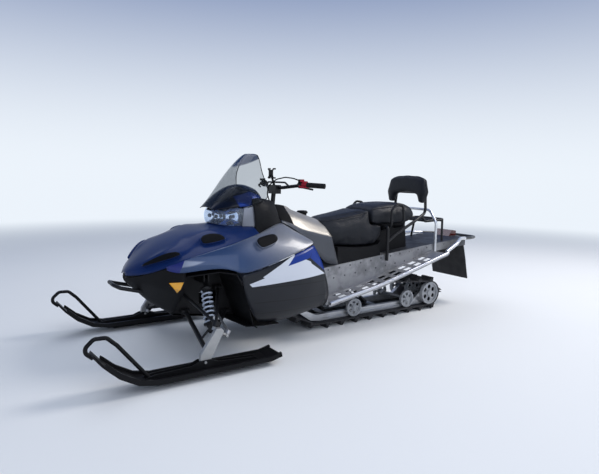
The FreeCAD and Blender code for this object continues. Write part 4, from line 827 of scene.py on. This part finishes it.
# the height of each line, then its x and y from the middle of the sheet round to its edge
screen_rows = metres((
    (850, ((822, 0), (814, 50), (792, 98), (752, 142), (700, 176), (625, 206))),
    (890, ((786, 0), (780, 56), (758, 112), (716, 160), (650, 200), (508, 230))),
    (940, ((744, 0), (738, 60), (716, 118), (676, 168), (610, 206), (496, 226))),
    (990, ((706, 0), (700, 60), (680, 118), (642, 168), (586, 198), (500, 216))),
    (1040, ((670, 0), (664, 58), (645, 112), (610, 160), (562, 184), (512, 192))),
    (1085, ((636, 0), (630, 52), (612, 100), (580, 142), (545, 158), (513, 166))),
    (1125, ((602, 0), (597, 44), (580, 84), (554, 118), (530, 130), (506, 138))),
    (1158, ((568, 0), (564, 34), (551, 64), (532, 88), (514, 96), (498, 102))),
    (1173, ((550, 0), (547, 26), (538, 50), (524, 70), (510, 78), (498, 84))),
    (1181, ((538, 0), (536, 14), (530, 26), (521, 38), (510, 47), (500, 52))),
))
shape = skin([[(x, y, z) for x, y in line] for z, line in screen_rows])[0]
screen_sheet = shell("screen_sheet", shape, screen_finish.material, "clear_screen", 0.0035)
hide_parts("windshield")
top_height, top_line = screen_rows[-1]
half_line = [(*line[-1], z) for z, line in screen_rows] + [(x, y, top_height) for x, y in top_line[-2::-1]]
edge_line = half_line + [(x, -y, z) for x, y, z in half_line[-2::-1]]
tube("screen_trim", [(x - 0.001, y * 0.99, min(z, 1.1775)) for x, y, z in edge_line], 0.0026, black_plastic)

# Console. A silver beige moulding over the tank, with a soft ridge either side, a dark well
# round the steering post and a small black filler cap. Below the ridge its sides take a darker
# copy of the silver paint, painted shade.
console_paint = painted("console_paint", (0.30, 0.28, 0.25), (0.52, 0.49, 0.44), 0.34, 0.5)
# painted shade: a darkened copy of the silver paint for the sides below the ridge
console_shaded_side = painted("console_shaded_side", (0.060, 0.064, 0.074), (0.15, 0.16, 0.185), 0.4, 0.5)
console_x = metres((385, 350, 300, 245, 200, 140, 80, 40))
console_lines = metres((
    ((0, 790), (0, 782), (0, 784), (0, 806), (0, 806), (0, 784), (0, 771), (0, 759)),
    ((45, 800), (50, 792), (52, 794), (50, 808), (48, 806), (45, 784), (40, 770), (38, 758)),
    ((92, 850), (98, 850), (100, 838), (98, 822), (94, 808), (85, 788), (76, 770), (72, 756)),
    ((152, 800), (158, 802), (166, 792), (168, 777), (168, 762), (164, 744), (158, 724), (154, 712)),
    ((196, 765), (204, 755), (218, 738), (228, 706), (230, 694), (222, 680), (216, 664), (210, 655)),
    ((210, 752), (216, 738), (236, 704), (246, 660), (249, 612), (247, 550), (240, 492), (233, 464)),
))
# where each line ends on the raked joint with the seat
console_ends = metres(((15.5, 0, 750), (15.5, 36, 749), (14.5, 66, 747), (3, 151, 702), (-14, 204.5, 642),
                       (-66, 218.5, 446)))
shape, chains, strips = skin([row + [end] for row, end in zip(ribbed(console_x, console_lines), console_ends)])
for line, amount in ((2, 0.55), (3, 0.5), (4, 0.8)):
    sharpen(shape, chains[line], amount)
sharpen(shape, [edge for edge in shape.edges if edge.is_boundary and edge not in chains[0]], 1.0)
# the strip below the ridge takes the painted-shade copy of the silver paint
for face in strips[4]:
    face.material_index = 2
for face in sum(strips[:4], []):
    if face.calc_center_median().x > 0.32:
        face.material_index = 1
wells = [face for strip in strips[:2] for face in strip if face.calc_center_median().x > 0.245]
bmesh.ops.inset_region(shape, faces=wells, thickness=0.004, depth=-0.022)
for face in wells:
    face.material_index = 1
console = shell("console_skin", shape, console_paint, "console_body")
console.data.materials.append(vent_black)
console.data.materials.append(console_shaded_side)
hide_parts("tank_cover")
shape = bmesh.new()
cap_profile = metres(((0, 808.5), (18, 808.3), (31, 807), (36.5, 803), (38.5, 797), (38.5, 789), (34, 787),
                      (31, 786), (31, 768), (0, 766)))
turned(shape, cap_profile, Matrix.Translation((0.096, 0.0, 0.0)))
bmesh.ops.recalc_face_normals(shape, faces=shape.faces)
cap = new_piece("filler_cap", shape, black_plastic)
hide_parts("fuel_cap")

# Handlebar group. Black bar, ribbed grips, control blocks with levers, a phone claw and the
# brake hose that loops up and over to the console. The rack's tubes have the bar's black coat.
grip_rubber = Finish("grip_rubber")
along, across, _ = grip_rubber.axes()
rings = ((across.math("ABSOLUTE") * 0.83 - along * 0.56) * 1047.0).math("SINE")
grime = grip_rubber.noise(30.0, 4.0)
grip_rubber.shade(Base_Color=grip_rubber.mix(grime, (0.006, 0.006, 0.007), (0.014, 0.014, 0.014)),
                  Roughness=0.62 + grime * 0.2, Specular_IOR_Level=0.25,
                  Normal=grip_rubber.bump(rings, 0.6, 0.0015))
switch_block = Finish("switch_block")
_, across, up = switch_block.axes()
red_face = across.step(0.262, 0.266) * (0.330 - across).step(0.0, 0.002) * up.step(0.970, 0.973)
speck = switch_block.noise(600.0, 3.0)
black_face = switch_block.mix(speck, (0.006, 0.006, 0.007), (0.012, 0.012, 0.013))
switch_block.shade(Base_Color=switch_block.mix(red_face, black_face, (0.30, 0.012, 0.026)),
                   Roughness=speck * 0.15 + 0.42, Specular_IOR_Level=0.25,
                   Normal=switch_block.bump(speck, 0.2, 0.0004))
dress(black_tube, "handlebar", "backrest_frame", "grab_handles", "rack")
dress(switch_block.material, "controls")
dress(black_plastic, "phone_holder", "seat_base")
dress(grip_rubber.material, "grips", "brake_hose")

# Seat. Foam under black grained vinyl: a long saddle, a raised cushion behind it and a
# backrest pad. The top panel is sewn to the side panels along a piped seam.
foam_grid = 0.006
stitch = 0.012
welt_radius = 0.0021


def relax(shape, passes):
    """Smooths a mesh a number of times."""
    for _ in range(passes):
        bmesh.ops.smooth_vert(shape, verts=shape.verts, factor=0.5, use_axis_x=True, use_axis_y=True,
                              use_axis_z=True)


def blown_up(cover, cap, passes):
    """The cover after a cloth simulation under pressure, in which no point moves past the cap."""
    start = [vert.co.copy() for vert in cover.data.vertices]
    cloth = cover.modifiers.new("cloth", "CLOTH")
    cloth.settings.use_pressure = True
    cloth.settings.uniform_pressure_force = 4.0
    cloth.settings.effector_weights.gravity = 0.0
    cloth.settings.tension_stiffness = 40.0
    cloth.settings.compression_stiffness = 40.0
    for tick in range(1, 21):
        scene.frame_set(tick)
    blown = applied(cover)
    cover.modifiers.clear()
    scene.frame_set(1)
    for vert, old in zip(blown.vertices, start):
        moved = vert.co - old
        if moved.length > cap:
            vert.co = old + moved * (cap / moved.length)
    shape = bmesh.new()
    shape.from_mesh(blown)
    relax(shape, passes)
    shape.to_mesh(blown)
    shape.free()
    return blown


def padded_cover(name, node, passes, drawn_in, cap, seams):
    """The foam block drawn in, blown up as cloth by no more than the cap, then sewn along its seams."""
    shape = bmesh.new()
    shape.from_mesh(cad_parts[node].data)
    bmesh.ops.remove_doubles(shape, verts=shape.verts, dist=0.00005)
    cover = new_piece(name, shape, seat_vinyl)
    grid = cover.modifiers.new("grid", "REMESH")
    grid.mode = "VOXEL"
    grid.voxel_size = foam_grid
    grid.use_smooth_shade = True
    meshed = applied(cover)
    cover.modifiers.clear()
    cover.data = meshed
    shape = bmesh.new()
    shape.from_mesh(meshed)
    relax(shape, passes)
    shape.normal_update()
    for vert in shape.verts:
        vert.co -= vert.normal * drawn_in
    shape.to_mesh(meshed)
    shape.free()
    cover.data = blown_up(cover, cap, passes)
    finer = cover.modifiers.new("finer", "SUBSURF")
    finer.levels = finer.render_levels = 1
    cover.data = applied(cover)
    cover.modifiers.clear()
    shape = bmesh.new()
    shape.from_mesh(cover.data)
    shape.normal_update()
    surface = BVHTree.FromBMesh(shape)
    runs = []
    for seam in seams:
        run = []
        for low, high in zip(seam, seam[1:]):
            steps = max(2, round((Vector(high) - Vector(low)).length / stitch))
            run += [Vector(low).lerp(Vector(high), i / steps) for i in range(steps)]
        runs.append([surface.find_nearest(spot)[0] for spot in run + [Vector(seam[-1])]])
    thread = KDTree(sum(len(run) for run in runs))
    for count, spot in enumerate(spot for run in runs for spot in run):
        thread.insert(spot, count)
    thread.balance()
    for vert in shape.verts:
        reach = thread.find(vert.co)[2]
        if reach < 0.03:
            drawn = 0.0030 * math.exp(-(reach / 0.007) ** 2)
            swell = 0.0012 * math.exp(-(reach / 0.018) ** 2)
            vert.co -= vert.normal * (drawn - swell)
    shape.to_mesh(cover.data)
    shape.free()
    cover.data.polygons.foreach_set("use_smooth", [True] * len(cover.data.polygons))
    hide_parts(node)
    for count, run in enumerate(runs):
        tube(f"{name}_welt_{count}", run[::2] + run[-1:], welt_radius, seat_vinyl)


def other_hand(line):
    """A left seam's line on the right."""
    return [(x, -y, z) for x, y, z in line]


vinyl = Finish("seat_vinyl")
grain = vinyl.cells(420.0, "DISTANCE_TO_EDGE").step(0.0, 0.25)
wear = vinyl.noise(6.0, 4.0)
folds = vinyl.bump(vinyl.noise(22.0, 2.0), 0.12, 0.004)
seat_vinyl = vinyl.shade(Base_Color=vinyl.mix(wear, (0.005, 0.006, 0.009), (0.011, 0.0126, 0.0174)),
                         Roughness=0.40 + wear * 0.16, Specular_IOR_Level=0.3,
                         Normal=vinyl.bump(grain, 0.35, 0.0006, folds))
saddle_seam = metres(((20, 82, 746), (-35, 108, 748), (-85, 126, 756), (-235, 156, 781), (-360, 166, 803)))
rear_seam = metres(((-400, 158, 818), (-455, 170, 832), (-555, 176, 843), (-655, 176, 846),
                    (-755, 168, 840), (-815, 150, 822)))
pad_seam = metres(((-910, -196, 868), (-910, -215, 940), (-910, -180, 1034), (-910, -104, 1058), (-910, 0, 1062),
                   (-910, 104, 1058), (-910, 180, 1034), (-910, 215, 940), (-910, 196, 868)))
padded_cover("saddle_cover", "seat_driver", 12, 0.004, 0.008, [saddle_seam, other_hand(saddle_seam)])
padded_cover("rear_cover", "seat_passenger", 16, 0.003, 0.008, [rear_seam, other_hand(rear_seam)])
padded_cover("backrest_cover", "backrest_pad", 24, 0.001, 0.009, [pad_seam])
